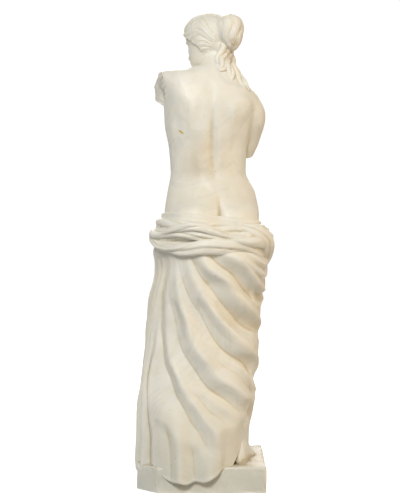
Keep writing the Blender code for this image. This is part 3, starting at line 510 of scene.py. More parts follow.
mantle = {
    "top": 0.548,
    "smoothFrom": 0.5,  # from here up the bands lie over the cloth
    "thickness": 0.0062,
    "tilt": 0.014,
    "perDegree": 0.0018,
    "fullness": 0.015,  # how far the ridges of the folds stand over the rings
    "foldsBegin": 0.486,
    # a valley's sharp share, soft share and soft width; the crest beside it: share, place, width; the
    # depth at which valleys that meet stop adding up; how they fade at their ends
    "valleyShape": (0.52, 0.64, 1.9), "crestShape": (0.3, 2.3, 1.1), "deepest": 0.034,
    "fade": (0.16, 0.012, 1.4),
    # wandering of the lines: degrees or rise, length, seed
    "warps": ((2.2, 0.16, 21), (0.8, 0.05, 22), (0.004, 0.12, 23)),
    # creases under the upper edge: rise, start; then their depth, half width and waver
    "creases": ((0.54, 0.4), (0.53, 2.3), (0.521, 4.0)), "creaseSizes": (0.0024, 0.0034, 0.0045),
    # valleys that run down the cloth: depth, half width on the side towards 0 degrees, half width on
    # the other, then angle and rise of points from the top down
    "valleys": (
        # the fan over her back, from her left hip
        (0.019, 0.022, 0.01, ((70, 0.5), (96, 0.446), (124, 0.398), (156, 0.362), (180, 0.345))),
        (0.0235, 0.027, 0.011, ((52, 0.502), (72, 0.44), (104, 0.372), (142, 0.312), (186, 0.268))),
        (
            0.025, 0.029, 0.012,
            ((38, 0.502), (52, 0.43), (80, 0.342), (122, 0.258), (170, 0.196), (204, 0.16)),
        ),
        (0.0235, 0.027, 0.011, ((27, 0.502), (35, 0.42), (56, 0.31), (92, 0.206), (134, 0.128), (170, 0.08))),
        (0.02, 0.022, 0.01, ((18, 0.5), (23, 0.41), (37, 0.29), (62, 0.18), (96, 0.085), (118, 0.02))),
        (0.01, 0.017, 0.008, ((60, 0.47), (76, 0.43), (92, 0.402), (108, 0.382))),
        (0.01, 0.017, 0.008, ((92, 0.384), (116, 0.344), (138, 0.318), (160, 0.3))),
        (0.01, 0.017, 0.008, ((72, 0.384), (94, 0.33), (120, 0.286), (146, 0.252))),
        (0.01, 0.017, 0.008, ((102, 0.25), (126, 0.208), (152, 0.172), (178, 0.148))),
        (0.01, 0.017, 0.008, ((46, 0.38), (60, 0.318), (78, 0.266))),
        (0.01, 0.017, 0.008, ((78, 0.19), (104, 0.134), (126, 0.096))),
        # the straight fall down her left side
        (0.017, 0.0085, 0.007, ((10, 0.496), (11, 0.38), (14, 0.22), (18, 0.1), (22, -0.01))),
        (0.014, 0.0075, 0.006, ((-1, 0.492), (-1, 0.35), (2, 0.18), (6, -0.01))),
        (0.012, 0.009, 0.006, ((21, 0.35), (25, 0.25), (30, 0.15), (36, 0.06), (40, -0.01))),
        (0.014, 0.008, 0.008, ((-13, 0.49), (-15, 0.33), (-13, 0.15), (-8, -0.01))),
        (0.011, 0.007, 0.007, ((-25, 0.48), (-28, 0.32), (-26, 0.14), (-22, -0.01))),
        (0.004, 0.01, 0.01, ((38, 0.15), (42, 0.08), (44, 0.0))),
        # over the back hem
        (0.008, 0.012, 0.008, ((58, 0.11), (66, 0.05), (70, -0.01))),
        (0.007, 0.01, 0.008, ((84, 0.08), (92, 0.03), (95, -0.01))),
        # behind her right leg, and round its side
        (0.008, 0.011, 0.008, ((142, 0.255), (158, 0.19), (166, 0.12), (170, 0.06))),
        (0.012, 0.01, 0.009, ((190, 0.33), (196, 0.24), (198, 0.13), (200, 0.0))),
        (0.012, 0.01, 0.008, ((208, 0.3), (212, 0.21), (214, 0.11), (216, 0.0))),
        # in front, from the knot on her right hip to her left knee
        (0.013, 0.008, 0.019, ((176, 0.47), (206, 0.44), (240, 0.404), (272, 0.384), (300, 0.378))),
        (0.016, 0.009, 0.022, ((184, 0.45), (212, 0.402), (246, 0.35), (278, 0.322), (302, 0.312))),
        (0.016, 0.009, 0.022, ((192, 0.424), (216, 0.358), (246, 0.292), (276, 0.256), (304, 0.24))),
        (0.006, 0.006, 0.012, ((214, 0.424), (240, 0.384), (262, 0.362))),
        (0.006, 0.006, 0.012, ((222, 0.372), (244, 0.328), (266, 0.298))),
        (0.008, 0.007, 0.014, ((318, 0.486), (322, 0.43), (318, 0.39), (308, 0.36))),
        (0.008, 0.007, 0.013, ((338, 0.484), (340, 0.43), (336, 0.38))),
        # hanging between and beside her shins
        (0.015, 0.009, 0.009, ((222, 0.285), (228, 0.2), (232, 0.11), (234, 0.0))),
        (0.017, 0.0095, 0.0095, ((236, 0.262), (244, 0.19), (248, 0.11), (250, 0.0))),
        (0.018, 0.0095, 0.0095, ((252, 0.246), (260, 0.18), (263, 0.1), (265, 0.0))),
        (0.016, 0.009, 0.009, ((270, 0.226), (276, 0.16), (279, 0.09), (281, 0.0))),
        (0.013, 0.008, 0.008, ((288, 0.196), (294, 0.14), (297, 0.08), (298, 0.0))),
        (0.012, 0.009, 0.008, ((318, 0.23), (316, 0.16), (315, 0.08), (314, 0.0))),
        (0.012, 0.008, 0.008, ((331, 0.33), (330, 0.2), (328, 0.1), (326, 0.0))),
    ),
    # cloth that laps over its neighbour: step, its softness, how far the lap reaches, and its line
    "laps": (
        (0.0055, 0.0014, 0.03, ((14, 0.494), (15, 0.38), (19, 0.22), (24, 0.09), (29, -0.01))),
        (-0.0045, 0.0012, 0.022, ((-6, 0.49), (-7, 0.34), (-4, 0.15), (0, -0.01))),
        (0.0035, 0.0012, 0.02, ((-18, 0.48), (-21, 0.3), (-18, 0.12), (-14, -0.01))),
        (0.004, 0.0014, 0.026, ((204, 0.32), (205, 0.23), (206, 0.12), (208, 0.0))),
    ),
    # slack folds that hang across: middle angle, spread, lowest rise, sag, height, width
    "swags": (
        (148, 34, 0.452, 0.03, 0.008, 0.008), (150, 36, 0.424, 0.036, 0.0085, 0.0085),
        (152, 34, 0.392, 0.044, 0.007, 0.009), (160, 26, 0.358, 0.04, 0.0045, 0.009),
    ),
    "hemLevel": -0.009,
    "hemDrop": (74.0, 34.0, 0.011),
    "hemLifts": (
        (48.0, 11.0, 0.034), (119.0, 10.0, 0.02), (156.0, 20.0, 0.068), (236.0, 26.0, 0.042),
        (306.0, 24.0, 0.048),
    ),
    # height, number round her, start
    "hemRipples": ((0.003, 5.0, 1.0), (0.0022, 12.0, 0.0), (0.0012, 23.0, 2.0)),
    # rings that close the cloth: share of the way out, level against the hem or the upper edge; the
    # first one is flat
    "underHem": ((0.5, -0.0157), (0.6, 0.0135), (0.8, 0.005), (0.93, 0.0), (0.965, -0.0036), (0.99, -0.0026)),
    "lip": ((0.988, 0.0016), (0.968, 0.002), (0.93, 0.0), (0.9, -0.012), (0.86, -0.04)),
    "columns": 384, "rows": 206, "topRows": 16,
}


def lineAt(points, rise):
    # the angle of a line of cloth at each rise, and how far it leans there
    turns, rises = np.array(points, float).T[:, ::-1]
    step = 0.004
    lean = (smoothCurve(rises, turns, rise + step) - smoothCurve(rises, turns, rise - step)) / (2 * step)
    return smoothCurve(rises, turns, rise), lean * mantle["perDegree"], rises[0], rises[-1]


def alongLine(rise, low, high):
    # 1 along a line of cloth, fading towards each end; none at a hem
    share, least, lower = mantle["fade"]
    reach = share * (high - low) + least
    upper = eased((high - rise) / reach)
    return upper * (1.0 if low < 0.005 else eased((rise - low) / (lower * reach)))


def besideLine(points, turn, rise):
    # the signed distance from a line of cloth, square to its lean, and how much of it there is
    at, lean, low, high = lineAt(points, rise)
    return apart(turn, at) * mantle["perDegree"] / np.sqrt(1.0 + lean**2), alongLine(rise, low, high)


def foldForm(turn, rise):
    # the cloth's fullness less a valley along each line: depth times a sharp and a soft exp of minus
    # the distance over the half width of that side, with a crest beside its steep side; a lap adds a
    # step that dies away, a swag a roll that hangs
    sharp, soft, softWidth = mantle["valleyShape"]
    crest, crestPlace, crestWidth = mantle["crestShape"]
    total = np.full(turn.shape, mantle["fullness"])
    valley = np.zeros(turn.shape)
    for depth, before, after, points in mantle["valleys"]:
        away, present = besideLine(points, turn, rise)
        near = np.abs(away) / np.where(away < 0, before, after)
        reach = depth * present
        one = reach * (sharp * np.exp(-near) + soft * bell(near / softWidth))
        valley = valley + one - valley * one / mantle["deepest"]
        narrow = min(before, after) * (1.0 if after < before else -1.0)
        total = total + crest * reach * bell((away - crestPlace * narrow) / (crestWidth * narrow))
    total = total - valley
    for height, softness, reach, points in mantle["laps"]:
        away, present = besideLine(points, turn, rise)
        total = total + height * present * stepUp(away, softness) * np.exp(-np.maximum(away, 0.0) / reach)
    for middle, spread, lowest, sag, height, width in mantle["swags"]:
        away = apart(turn, middle) / spread
        above = rise - lowest - sag * away**2
        width = np.where(above < 0, 0.6 * width, 1.4 * width)
        total = total + height * bell(above / width) * np.exp(-(away**4))
    return total


def hemLift(turn):
    # the hem's level, with a bell where it drops and where it lifts, and sines round her
    middle, wide, drop = mantle["hemDrop"]
    lift = mantle["hemLevel"] - drop * bell(apart(turn, middle) / wide)
    for centre, spread, height in mantle["hemLifts"]:
        lift = lift + height * bell(apart(turn, centre) / spread)
    for height, number, start in mantle["hemRipples"]:
        lift = lift + height * np.sin(number * np.radians(turn) + start)
    return lift


def mantleSkin():
    # rings of cloth from the hem to the upper edge, closed by a hollow below and a rolled lip above
    top, smooth = mantle["top"], mantle["smoothFrom"]
    turn, rise = np.broadcast_arrays(
        np.linspace(0.0, 360.0, mantle["columns"], endpoint=False)[None, :],
        np.concatenate((
            np.linspace(0.0, smooth, mantle["rows"], endpoint=False),
            np.linspace(smooth, top, mantle["topRows"]),
        ))[:, None],
    )
    plain = onRings(turn, alongAt(rise), 0.0 * turn)
    broad, fine, level = (size * waves(plain, length, seed) for size, length, seed in mantle["warps"])
    height = mantle["thickness"] + bodyForm(turn, rise, True) * stepUp(rise - smooth, 0.02)
    depth, halfWidth, waver = mantle["creaseSizes"]
    for at, start in mantle["creases"]:
        line = at + waver * np.sin(2.0 * np.radians(turn) + start)
        presence = 0.6 + 0.4 * np.sin(np.radians(turn) * 3.0 + start)
        height = height - depth * np.exp(-np.abs((rise - line) / halfWidth) ** 1.4) * presence
    inFolds = stepUp(mantle["foldsBegin"] - rise, 0.014)
    height = height + inFolds * (limbForm(turn, rise) + foldForm(turn + broad + fine, rise + level))
    lift = hemLift(turn) * np.clip(1.0 - rise / 0.25, 0.0, 1.0) ** 2
    tilted = mantle["tilt"] * np.cos(np.radians(turn - 30.0))
    cloth = onRings(turn, alongAt(rise), height, lift + tilted * bell((rise - top) / 0.05))
    hem, lip = cloth[0], cloth[-1]
    under, over = [], []
    middle = np.array((0.01, 0.0, 0.0))
    for share, at in mantle["underHem"]:
        under.append(middle + (hem - middle) * share)
        under[-1][:, 2] = hem[:, 2] + at if under[1:] else at
    for share, at in mantle["lip"]:
        over.append(lip.mean(0) + (lip - lip.mean(0)) * share)
        over[-1][:, 2] = lip[:, 2] + at
    return inMetres(np.concatenate((np.array(under), cloth, np.array(over))))


# ---- the rolled upper edge of the mantle

roll = {
    # rise, half height, half thickness, waver, swelling, start, lobes, twist, how far out
    "bands": (
        (0.53, 0.0105, 0.0095, 0.0045, 0.25, 0.0, 3, 3.0, 0.0),
        (0.512, 0.016, 0.0165, 0.006, 0.26, 2.2, 5, -3.0, 0.002),
        (0.49, 0.015, 0.016, 0.007, 0.28, 4.1, 5, 3.6, 0.001),
        (0.52, 0.0075, 0.0085, 0.012, 0.3, 5.2, 3, -5.0, 0.01),
        (0.496, 0.007, 0.008, 0.013, 0.25, 1.2, 3, 4.0, 0.01),
    ),
    "dipInFront": 0.024,
    "tilt": 0.006,
    "gather": (156.0, 34.0, 0.28),  # angle, spread and how much thicker
    # the section: least radius, then share and power of the main and of the lesser lobes
    "fat": 0.7, "mainLobes": (0.36, 0.55), "lesserLobes": (0.12, 0.6),
    "ripple": (0.0015, 7.0),
    "around": 44, "along": 400,
}


def bandSkin(rise, halfHeight, halfThickness, waver, swelling, start, lobes, twist, out):
    # an oval carried round the hips; its radius has rounded lobes between creases that turn with the
    # band, and the band wavers, swells and gathers as it goes
    turn = np.linspace(0.0, 360.0, roll["along"], endpoint=False)
    rises = np.full(turn.shape, rise)
    onBody = onRings(turn, alongAt(rises), bodyForm(turn, rises, True) + mantle["thickness"] + out)
    away = onBody[:, :2] - onBody[:, :2].mean(0)
    away = away / np.linalg.norm(away, axis=1)[:, None]
    angle = np.arctan2(away[:, 1], away[:, 0])
    place, wide, more = roll["gather"]
    size = 1.0 + swelling * np.sin(2.0 * angle + start)
    size = size + more * bell(apart(np.degrees(angle), place) / wide)
    level = rise - roll["dipInFront"] * bell(apart(np.degrees(angle), 270.0) / 60.0)
    level = level + roll["tilt"] * np.cos(angle) + waver * np.sin(3.0 * angle + 2.0 * start)
    level = level + roll["ripple"][0] * np.sin(roll["ripple"][1] * angle + start)
    section = fullTurn(roll["around"])
    main = sizeOfSine(lobes * 0.5 * (section + twist * np.sin(0.5 * angle + start)[:, None]))
    lesser = sizeOfSine((lobes + 2) * 0.5 * section + 2.0 * np.sin(angle + start)[:, None])
    (mainShare, mainPower), (lesserShare, lesserPower) = roll["mainLobes"], roll["lesserLobes"]
    fat = roll["fat"] + mainShare * main**mainPower + lesserShare * lesser**lesserPower
    reach = (halfThickness * size)[:, None] * np.cos(section) * fat
    lift = (halfHeight * size)[:, None] * np.sin(section) * fat
    return inMetres(np.stack((
        onBody[:, None, 0] + away[:, None, 0] * reach,
        onBody[:, None, 1] + away[:, None, 1] * reach,
        level[:, None] + lift,
    ), axis=-1))


tucked = {
    # where the end of the cloth hangs over her right hip, and its thickness there
    "line": (
        (-0.08, 0.086, 0.53), (-0.11, 0.074, 0.517), (-0.131, 0.048, 0.497), (-0.136, 0.022, 0.47),
        (-0.125, 0.004, 0.438),
    ),
    "radii": (0.012, 0.019, 0.02, 0.014, 0.007),
}

# ---- her head, in shares of its own height

head = {
    "height": 0.127,
    "centre": (-0.006, -0.018, 0.937),
    "turn": 54.0, "bow": 9.0, "lean": 3.0,
    "columns": 184, "rows": 180, "crowding": 1.35,
    # rise, half width, reach of the face, reach of the back
    "rings": (
        (-0.01, 0.06, 0.29, -0.16), (0.02, 0.13, 0.345, -0.02), (0.09, 0.204, 0.37, 0.06),
        (0.2, 0.262, 0.37, 0.16), (0.3, 0.296, 0.366, 0.27), (0.4, 0.318, 0.352, 0.36),
        (0.5, 0.338, 0.35, 0.425), (0.59, 0.346, 0.374, 0.455), (0.68, 0.345, 0.372, 0.462),
        (0.78, 0.325, 0.348, 0.435), (0.88, 0.265, 0.28, 0.355), (0.955, 0.165, 0.175, 0.23),
        (0.992, 0.06, 0.065, 0.085),
    ),
    # a calm, regular face: angle from its middle, rise, spread, spread up, spread down, height
    "middle": (
        (0.0, 0.229, 13.0, 0.014, 0.013, 0.021), (0.0, 0.186, 11.5, 0.015, 0.018, 0.027),
        (0.0, 0.209, 14.5, 0.006, 0.006, -0.013), (0.0, 0.262, 3.0, 0.02, 0.012, -0.006),
        (0.0, 0.142, 14.0, 0.016, 0.018, -0.014), (0.0, 0.055, 17.0, 0.04, 0.04, 0.024),
    ),
    "pairs": (
        (20.0, 0.59, 14.0, 0.016, 0.026, 0.012), (19.5, 0.514, 11.5, 0.042, 0.036, -0.04),
        (20.5, 0.508, 9.5, 0.026, 0.024, 0.03), (4.5, 0.232, 4.0, 0.008, 0.008, 0.005),
        (12.5, 0.505, 3.0, 0.01, 0.01, -0.008), (36.0, 0.415, 13.0, 0.05, 0.05, 0.014),
        (8.0, 0.314, 4.4, 0.018, 0.014, 0.017), (12.5, 0.207, 3.5, 0.01, 0.01, -0.009),
    ),
    "noseRises": (0.285, 0.306, 0.334, 0.44, 0.57, 0.64),
    "noseHeights": (0.0, 0.066, 0.094, 0.058, 0.022, 0.0),
    "noseSpreads": (8.8, 8.6, 7.6, 5.8, 6.2, 9.0),
    # angle from the middle of the face, rise, half width, upper and lower lid, height of the lids
    "eye": (20.5, 0.505, 11.5, 0.026, 0.018, 0.0095), "lidSoftness": 0.0066, "lidCrease": 0.018,
    "hairlineTurns": (0.0, 30.0, 55.0, 75.0, 100.0, 140.0, 180.0),
    "hairlineRises": (0.83, 0.76, 0.64, 0.52, 0.36, 0.25, 0.23),
    "hair": 0.034, "locks": 9, "axisLift": 24.0,
    # strands from coarse to fine: number, slant, start, height, power of the sine's size, its middle
    "strands": (
        (0.5, 0.0, 0.0, 0.016, 0.8, 0.5), (1.5, 5.0, 0.0, 0.011, 0.8, 0.6), (3.5, -9.0, 0.7, 0.005, 1.0, 0.6),
    ),
    "filletPlace": -0.3, "filletHalfWidth": 0.035, "filletHeight": 0.02,
}
bun = {
    "reach": 0.52, "rise": 0.56, "halfSizes": (0.225, 0.21, 0.315), "strands": 7, "strandHeight": 0.022,
    "fineHeight": 0.012, "taper": 0.32,
}
headAxes = np.array(
    Matrix.Rotation(math.radians(head["lean"]), 3, "Y")
    @ Matrix.Rotation(math.radians(head["turn"]), 3, "Z")
    @ Matrix.Rotation(math.radians(head["bow"]), 3, "X")
)


def headPlaced(points):
    # shares of the head's height about its centre, turned with the head and put on the figure
    return inMetres(points @ headAxes.T * head["height"] + np.array(head["centre"]))


def hairForm(points, rise, turn):
    # the hair's body over the skull, with wavy locks combed round an axis from brow to nape
    line = np.interp(np.abs(turn), head["hairlineTurns"], head["hairlineRises"])
    line = line + 0.012 * np.sin(np.radians(turn) * 13.0)
    hair = stepUp(rise - line, 0.01 + 0.008 * eased((np.abs(turn) - 70.0) / 40.0))
    lift = math.radians(head["axisLift"])
    along = -points[..., 1] * math.cos(lift) + points[..., 2] * math.sin(lift)
    upright = points[..., 1] * math.sin(lift) + points[..., 2] * math.cos(lift)
    roundAxis = np.arctan2(points[..., 0], upright)
    place = np.abs(roundAxis) + 0.22 * np.sin(9.0 * along + 2.0 * np.abs(roundAxis))
    strands = 0.0
    for number, slant, start, height, power, middle in head["strands"]:
        strand = sizeOfSine(head["locks"] * place * number + slant * along + start)
        strands = strands + height * (strand**power - middle)
    fillet = stepUp(head["filletHalfWidth"] - np.abs(along - head["filletPlace"]), 0.008)
    within = (1 - fillet) * stepUp(0.5 - np.abs(along), 0.05)
    return hair * (head["hair"] + strands * within + head["filletHeight"] * fillet)


def lidForm(turn, rise):
    # the rims of the lids along two arcs round each eye, and the crease over the upper one
    centre, level, halfWidth, upper, lower, height = head["eye"]
    soft = head["lidSoftness"]
    place = (np.abs(turn) - centre) / halfWidth
    arc = np.sqrt(np.clip(1.0 - place**2, 0.0, 1.0))
    within = stepUp(1.0 - np.abs(place), 0.08)
    over = rise - level - upper * arc
    under = rise - level + lower * arc
    crease = bell((over - head["lidCrease"]) / soft)
    rims = bell(over / soft) + 0.7 * bell(under / soft)
    return within * height * (rims - 0.8 * crease)


def headSkin():
    # rings from under the chin to the crown; columns crowd towards the face, which is made of mounds
    table = np.array(head["rings"])
    share = np.linspace(0.0, 1.0, head["rows"])
    crowded = 0.65 * share + 0.35 * np.sin(share * math.pi / 2)
    rise = (table[0, 0] + (table[-1, 0] - table[0, 0]) * crowded)[:, None]
    spaced = np.linspace(-1.0, 1.0, head["columns"], endpoint=False)[None, :]
    fromFace = 180.0 * np.sign(spaced) * np.abs(spaced) ** head["crowding"]
    halfWidth, face, behind = columnsAt(table, rise)
    angle = np.radians(270.0 + fromFace)
    x = halfWidth * np.cos(angle)
    y = (face + behind) / 2 * np.sin(angle)
    form = 0.0
    for *shape, height in head["middle"]:
        form = form + height * mound(fromFace, rise, *shape)
    for offset, *shape, height in head["pairs"]:
        for side in (-1.0, 1.0):
            form = form + height * mound(fromFace, rise, side * offset, *shape)
    bridge = smoothCurve(head["noseRises"], head["noseHeights"], rise)
    noseSpread = smoothCurve(head["noseRises"], head["noseSpreads"], rise)
    form = form + bridge * bell(fromFace / noseSpread) + lidForm(fromFace, rise)
    points = together(x, y + (behind - face) / 2, rise - 0.5)
    form = form + hairForm(points, rise, fromFace)
    reach = np.hypot(x, y)
    points[..., 0] *= 1 + form / reach
    points[..., 1] = y * (1 + form / reach) + (behind - face) / 2
    points[..., 2] += 0.4 * form * stepUp(rise - 0.9, 0.04)
    return headPlaced(points)


def bunSkin(around=96, rows=56):
    # an egg of hair whose radius follows strands that wind over it from top to bottom
    up = np.linspace(-0.995, 0.995, rows)[:, None] * math.pi / 2
    turn = fullTurn(around)
    flat = np.cos(up)
    unit = together(flat * np.sin(turn), flat * np.cos(turn), np.sin(up))
    place = np.arctan2(unit[..., 0], unit[..., 1]) + 0.25 * np.sin(4.0 * unit[..., 2])
    strand = sizeOfSine(bun["strands"] * 0.5 * place + 0.8 * unit[..., 2])
    fine = sizeOfSine(bun["strands"] * 2.0 * place - 1.6 * unit[..., 2])
    level = np.hypot(unit[..., 0], unit[..., 1])
    strands = bun["strandHeight"] * (strand * level) + bun["fineHeight"] * (fine - 0.5) * level
    size = np.array(bun["halfSizes"]) + strands[..., None]
    size[..., :2] *= 1.0 + bun["taper"] * unit[..., 2, None]
    return headPlaced(unit * size + np.array((0.0, bun["reach"], bun["rise"] - 0.5)))


nape = {
    # angle and rise of points on the neck and shoulder that each lock lies on
    "locks": (
        ((94.0, 0.935), (103.0, 0.916), (96.0, 0.899), (106.0, 0.884), (101.0, 0.872)),
        ((118.0, 0.936), (125.0, 0.914), (116.0, 0.894), (126.0, 0.875), (120.0, 0.858)),
        ((140.0, 0.936), (148.0, 0.914), (138.0, 0.893), (147.0, 0.872), (139.0, 0.853), (143.0, 0.841)),
        ((158.0, 0.93), (164.0, 0.909), (155.0, 0.889), (161.0, 0.872)),
    ),
    "radius": 0.0135, "tipShare": 0.55,
}


def lockSkin(places):
    # a strand of three twisted lobes that winds down the neck
    turn, rise = np.array(places).T
    line = onRings(turn, alongAt(rise), bodyForm(turn, rise))
    radii = np.linspace(nape["radius"], nape["radius"] * nape["tipShare"], len(line))
    return tube(line, radii, 40, 70, lobes=3, lobeHeight=0.6, twist=8.0, rounded=0.22)


# ---- arms

arm = {
    "line": (
        (-0.06, 0.006, 0.815), (-0.088, 0.002, 0.803), (-0.102, -0.012, 0.775), (-0.096, -0.036, 0.735),
        (-0.08, -0.056, 0.69),
    ),
    "radii": (0.026, 0.033, 0.0335, 0.03, 0.027),
    "lostLine": ((0.046, 0.006, 0.848), (0.076, 0.004, 0.84), (0.096, 0.0, 0.826), (0.104, -0.004, 0.804)),
    "lostRadii": (0.024, 0.03, 0.034, 0.032),
    "breakReach": 0.099, "breakRise": 0.82, "breakHalfSize": 0.06, "breakTurn": 18.0, "breakLean": 5.0,
    # how deep the middle of the break is sunk and how wide; its roughness: height, length, seed
    "bowl": (0.01, 0.026), "breakWaves": ((0.00125, 0.03, 31), (0.0008, 0.01, 32)),
}


def breakSkin(count=60):
    # a block whose near face is broken stone: a square of sines pushed in and out
    half = arm["breakHalfSize"]
    side = np.linspace(-half, half, count)
    x, y = np.meshgrid(side, side)
    spots = np.stack((x, y, 0.0 * x), axis=-1)
    deep, wide = arm["bowl"]
    rough = -deep * bell(np.hypot(x, y) / wide)
    for height, length, seed in arm["breakWaves"]:
        rough = rough + height * waves(spots, length, seed)
    near = np.stack((x, y, rough), axis=-1).reshape(-1, 3)
    far = np.stack((x, y, 0.0 * x + half), axis=-1).reshape(-1, 3)
    points = np.concatenate((near, far))
    cell = np.arange(count * count).reshape(count, count)
    quads = cell[:-1, :-1], cell[:-1, 1:], cell[1:, 1:], cell[1:, :-1]
    a, b, c, d = (corner.ravel() for corner in quads)
    flat = np.concatenate((np.stack((a, c, b), 1), np.stack((a, d, c), 1)))
    rim = np.concatenate((cell[0, :-1], cell[:-1, -1], cell[-1, :0:-1], cell[:0:-1, 0]))
    along = np.roll(rim, -1)
    lower = count * count
    walls = np.concatenate((
        np.stack((rim, along, along + lower), 1), np.stack((rim, along + lower, rim + lower), 1),
    ))
    facing = (
        Matrix.Rotation(math.radians(arm["breakTurn"]), 3, "Z")
        @ Matrix.Rotation(math.radians(90.0 + arm["breakLean"]), 3, "Y")
    )
    placed = points @ np.array(facing).T + np.array((arm["breakReach"], 0.004, arm["breakRise"]))
    return inMetres(placed), np.concatenate((flat, flat[:, ::-1] + lower, walls))


def makeFigure(marble):
    # torso, head, hair and arms joined into one skin and softened where they meet
    base = formOf("torso", *skinned(torsoSkin(224, 170)))
    lost = tube(arm["lostLine"], arm["lostRadii"], 64, 50)
    changes = [("UNION", formOf("lostArm", *skinned(lost))), ("DIFFERENCE", formOf("break", *breakSkin()))]
    added = {"arm": tube(arm["line"], arm["radii"], 72, 70), "headForm": headSkin(), "bun": bunSkin()}
    added |= {f"lock{number}": lockSkin(places) for number, places in enumerate(nape["locks"])}
    changes += [("UNION", formOf(name, *skinned(skin))) for name, skin in added.items()]
    points, faces, source = united(base, changes)
    soften = (("lostArm", 10, 26), ("arm", 9, 30), ("headForm", 7, 16), ("bun", 3, 5))
    return carvedPiece("figure", softenedSeams(points, faces, source, soften), faces, marble)


def makeMantle(marble):
    # the draped cloth as one skin
    return carvedPiece("mantle", *skinned(mantleSkin()), marble)


def makeRoll(marble):
    # the bands and the tucked end joined into one skin
    skins = [skinned(bandSkin(*band), ring=True) for band in roll["bands"]]
    base, *others = [formOf(f"band{number}", *skin) for number, skin in enumerate(skins)]
    end = tube(tucked["line"], tucked["radii"], 60, 60, lobes=5, lobeHeight=0.3, twist=2.5)
    others.append(formOf("tucked", *skinned(end)))
    points, faces, source = united(base, [("UNION", form) for form in others])
    soften = [(name, 2, 2) for name in ("tucked", "band1", "band2", "band3")]
    return carvedPiece("mantleRoll", softenedSeams(points, faces, source, soften), faces, marble)


# ---- the plinth and her feet

plinth = {
    "height": 0.045, "width": 0.218, "depth": 0.196, "toLeft": 0.006, "ahead": 0.016, "cut": 0.036,
    "edge": 0.0045, "around": 560,
    # how far in the rings of the underside and of the top lie
    "baseInsets": (0.3, 0.1, 0.03), "topInsets": (0.008, 0.012, 0.017, 0.024, 0.034, 0.048, 0.066),
    # greatest wear, the lengths of its waves, and how far it reaches in from edges and from corners
    "wear": 0.0016, "wearLengths": (0.03, 0.011), "edgeReach": 0.006, "cornerReach": 0.009,
    "uneven": 0.0005, "unevenLength": 0.045,
}
feet = {
    "places": ((-0.066, 0.07, -8.0, 0.15), (0.07, 0.0, 24.0, 0.144)),
    "sections": (
        (0.0, 0.085, 0.16), (0.06, 0.15, 0.4), (0.2, 0.175, 0.52), (0.36, 0.17, 0.46),
        (0.55, 0.195, 0.32), (0.72, 0.225, 0.2), (0.88, 0.215, 0.14), (1.0, 0.13, 0.08),
    ),
    "ankle": 0.0225, "ankleTop": 0.085,
    # shares of the foot's length: place of the big toe, way to the next one, half widths
    "firstToe": 0.155, "toeStep": 0.078, "toes": (0.062, 0.043, 0.04, 0.038, 0.036),
}


def plinthCorners():
    # a rectangle in plan with one corner cut off
    toLeft, ahead, cut = plinth["toLeft"], plinth["ahead"], plinth["cut"]
    right, left = toLeft - plinth["width"] / 2, toLeft + plinth["width"] / 2
    front, back = -plinth["depth"] / 2 - ahead, plinth["depth"] / 2 - ahead
    return np.array(((right, front), (left, front), (left, back - cut), (left - cut, back), (right, back)))


def fromOutline(points):
    # the distance in plan to the nearest side of the block: past a side's ends, to its end
    corners = plinthCorners() + np.array(statue["shift"])
    sides = np.roll(corners, -1, axis=0) - corners
    away = points[:, None, :2] - corners[None]
    share = np.clip((away * sides).sum(2) / (sides**2).sum(1), 0.0, 1.0)
    return np.linalg.norm(away - share[..., None] * sides, axis=2).min(1)


def plinthSkin():
    # the outline of the block resampled evenly, carried up a profile with rounded and worn edges
    edge, top = plinth["edge"], plinth["height"]
    corners = plinthCorners()
    loop = np.concatenate((corners, corners[:1]))
    knots = lengthsAlong(loop)
    at = np.linspace(0.0, knots[-1], plinth["around"], endpoint=False)
    outline = np.stack((np.interp(at, knots, loop[:, 0]), np.interp(at, knots, loop[:, 1])), axis=-1)
    for _ in range(5):
        outline = 0.5 * outline + 0.25 * (np.roll(outline, 1, axis=0) + np.roll(outline, -1, axis=0))
    middle = corners.mean(0)
    bend = np.linspace(0.0, math.pi / 2, 6)
    profile = [(0.0, inset) for inset in plinth["baseInsets"]]
    profile += [(edge * 0.5 * (1 - math.cos(t)), edge * 0.5 * (1 - math.sin(t))) for t in bend]
    profile += [(z, 0.0) for z in np.linspace(edge, top - edge, 24)]
    profile += [(top - edge + edge * math.sin(t), edge * (1 - math.cos(t))) for t in bend]
    profile += [(top, inset) for inset in plinth["topInsets"]]
    rows = []
    reach = np.linalg.norm(outline - middle, axis=1)[:, None]
    for z, inset in profile:
        inward = outline + (middle - outline) / reach * np.minimum(inset, 0.9 * reach)
        rows.append(np.concatenate((inward, np.full((len(outline), 1), z)), axis=1))
    return np.array(rows) + np.array((*statue["shift"], 0.0))


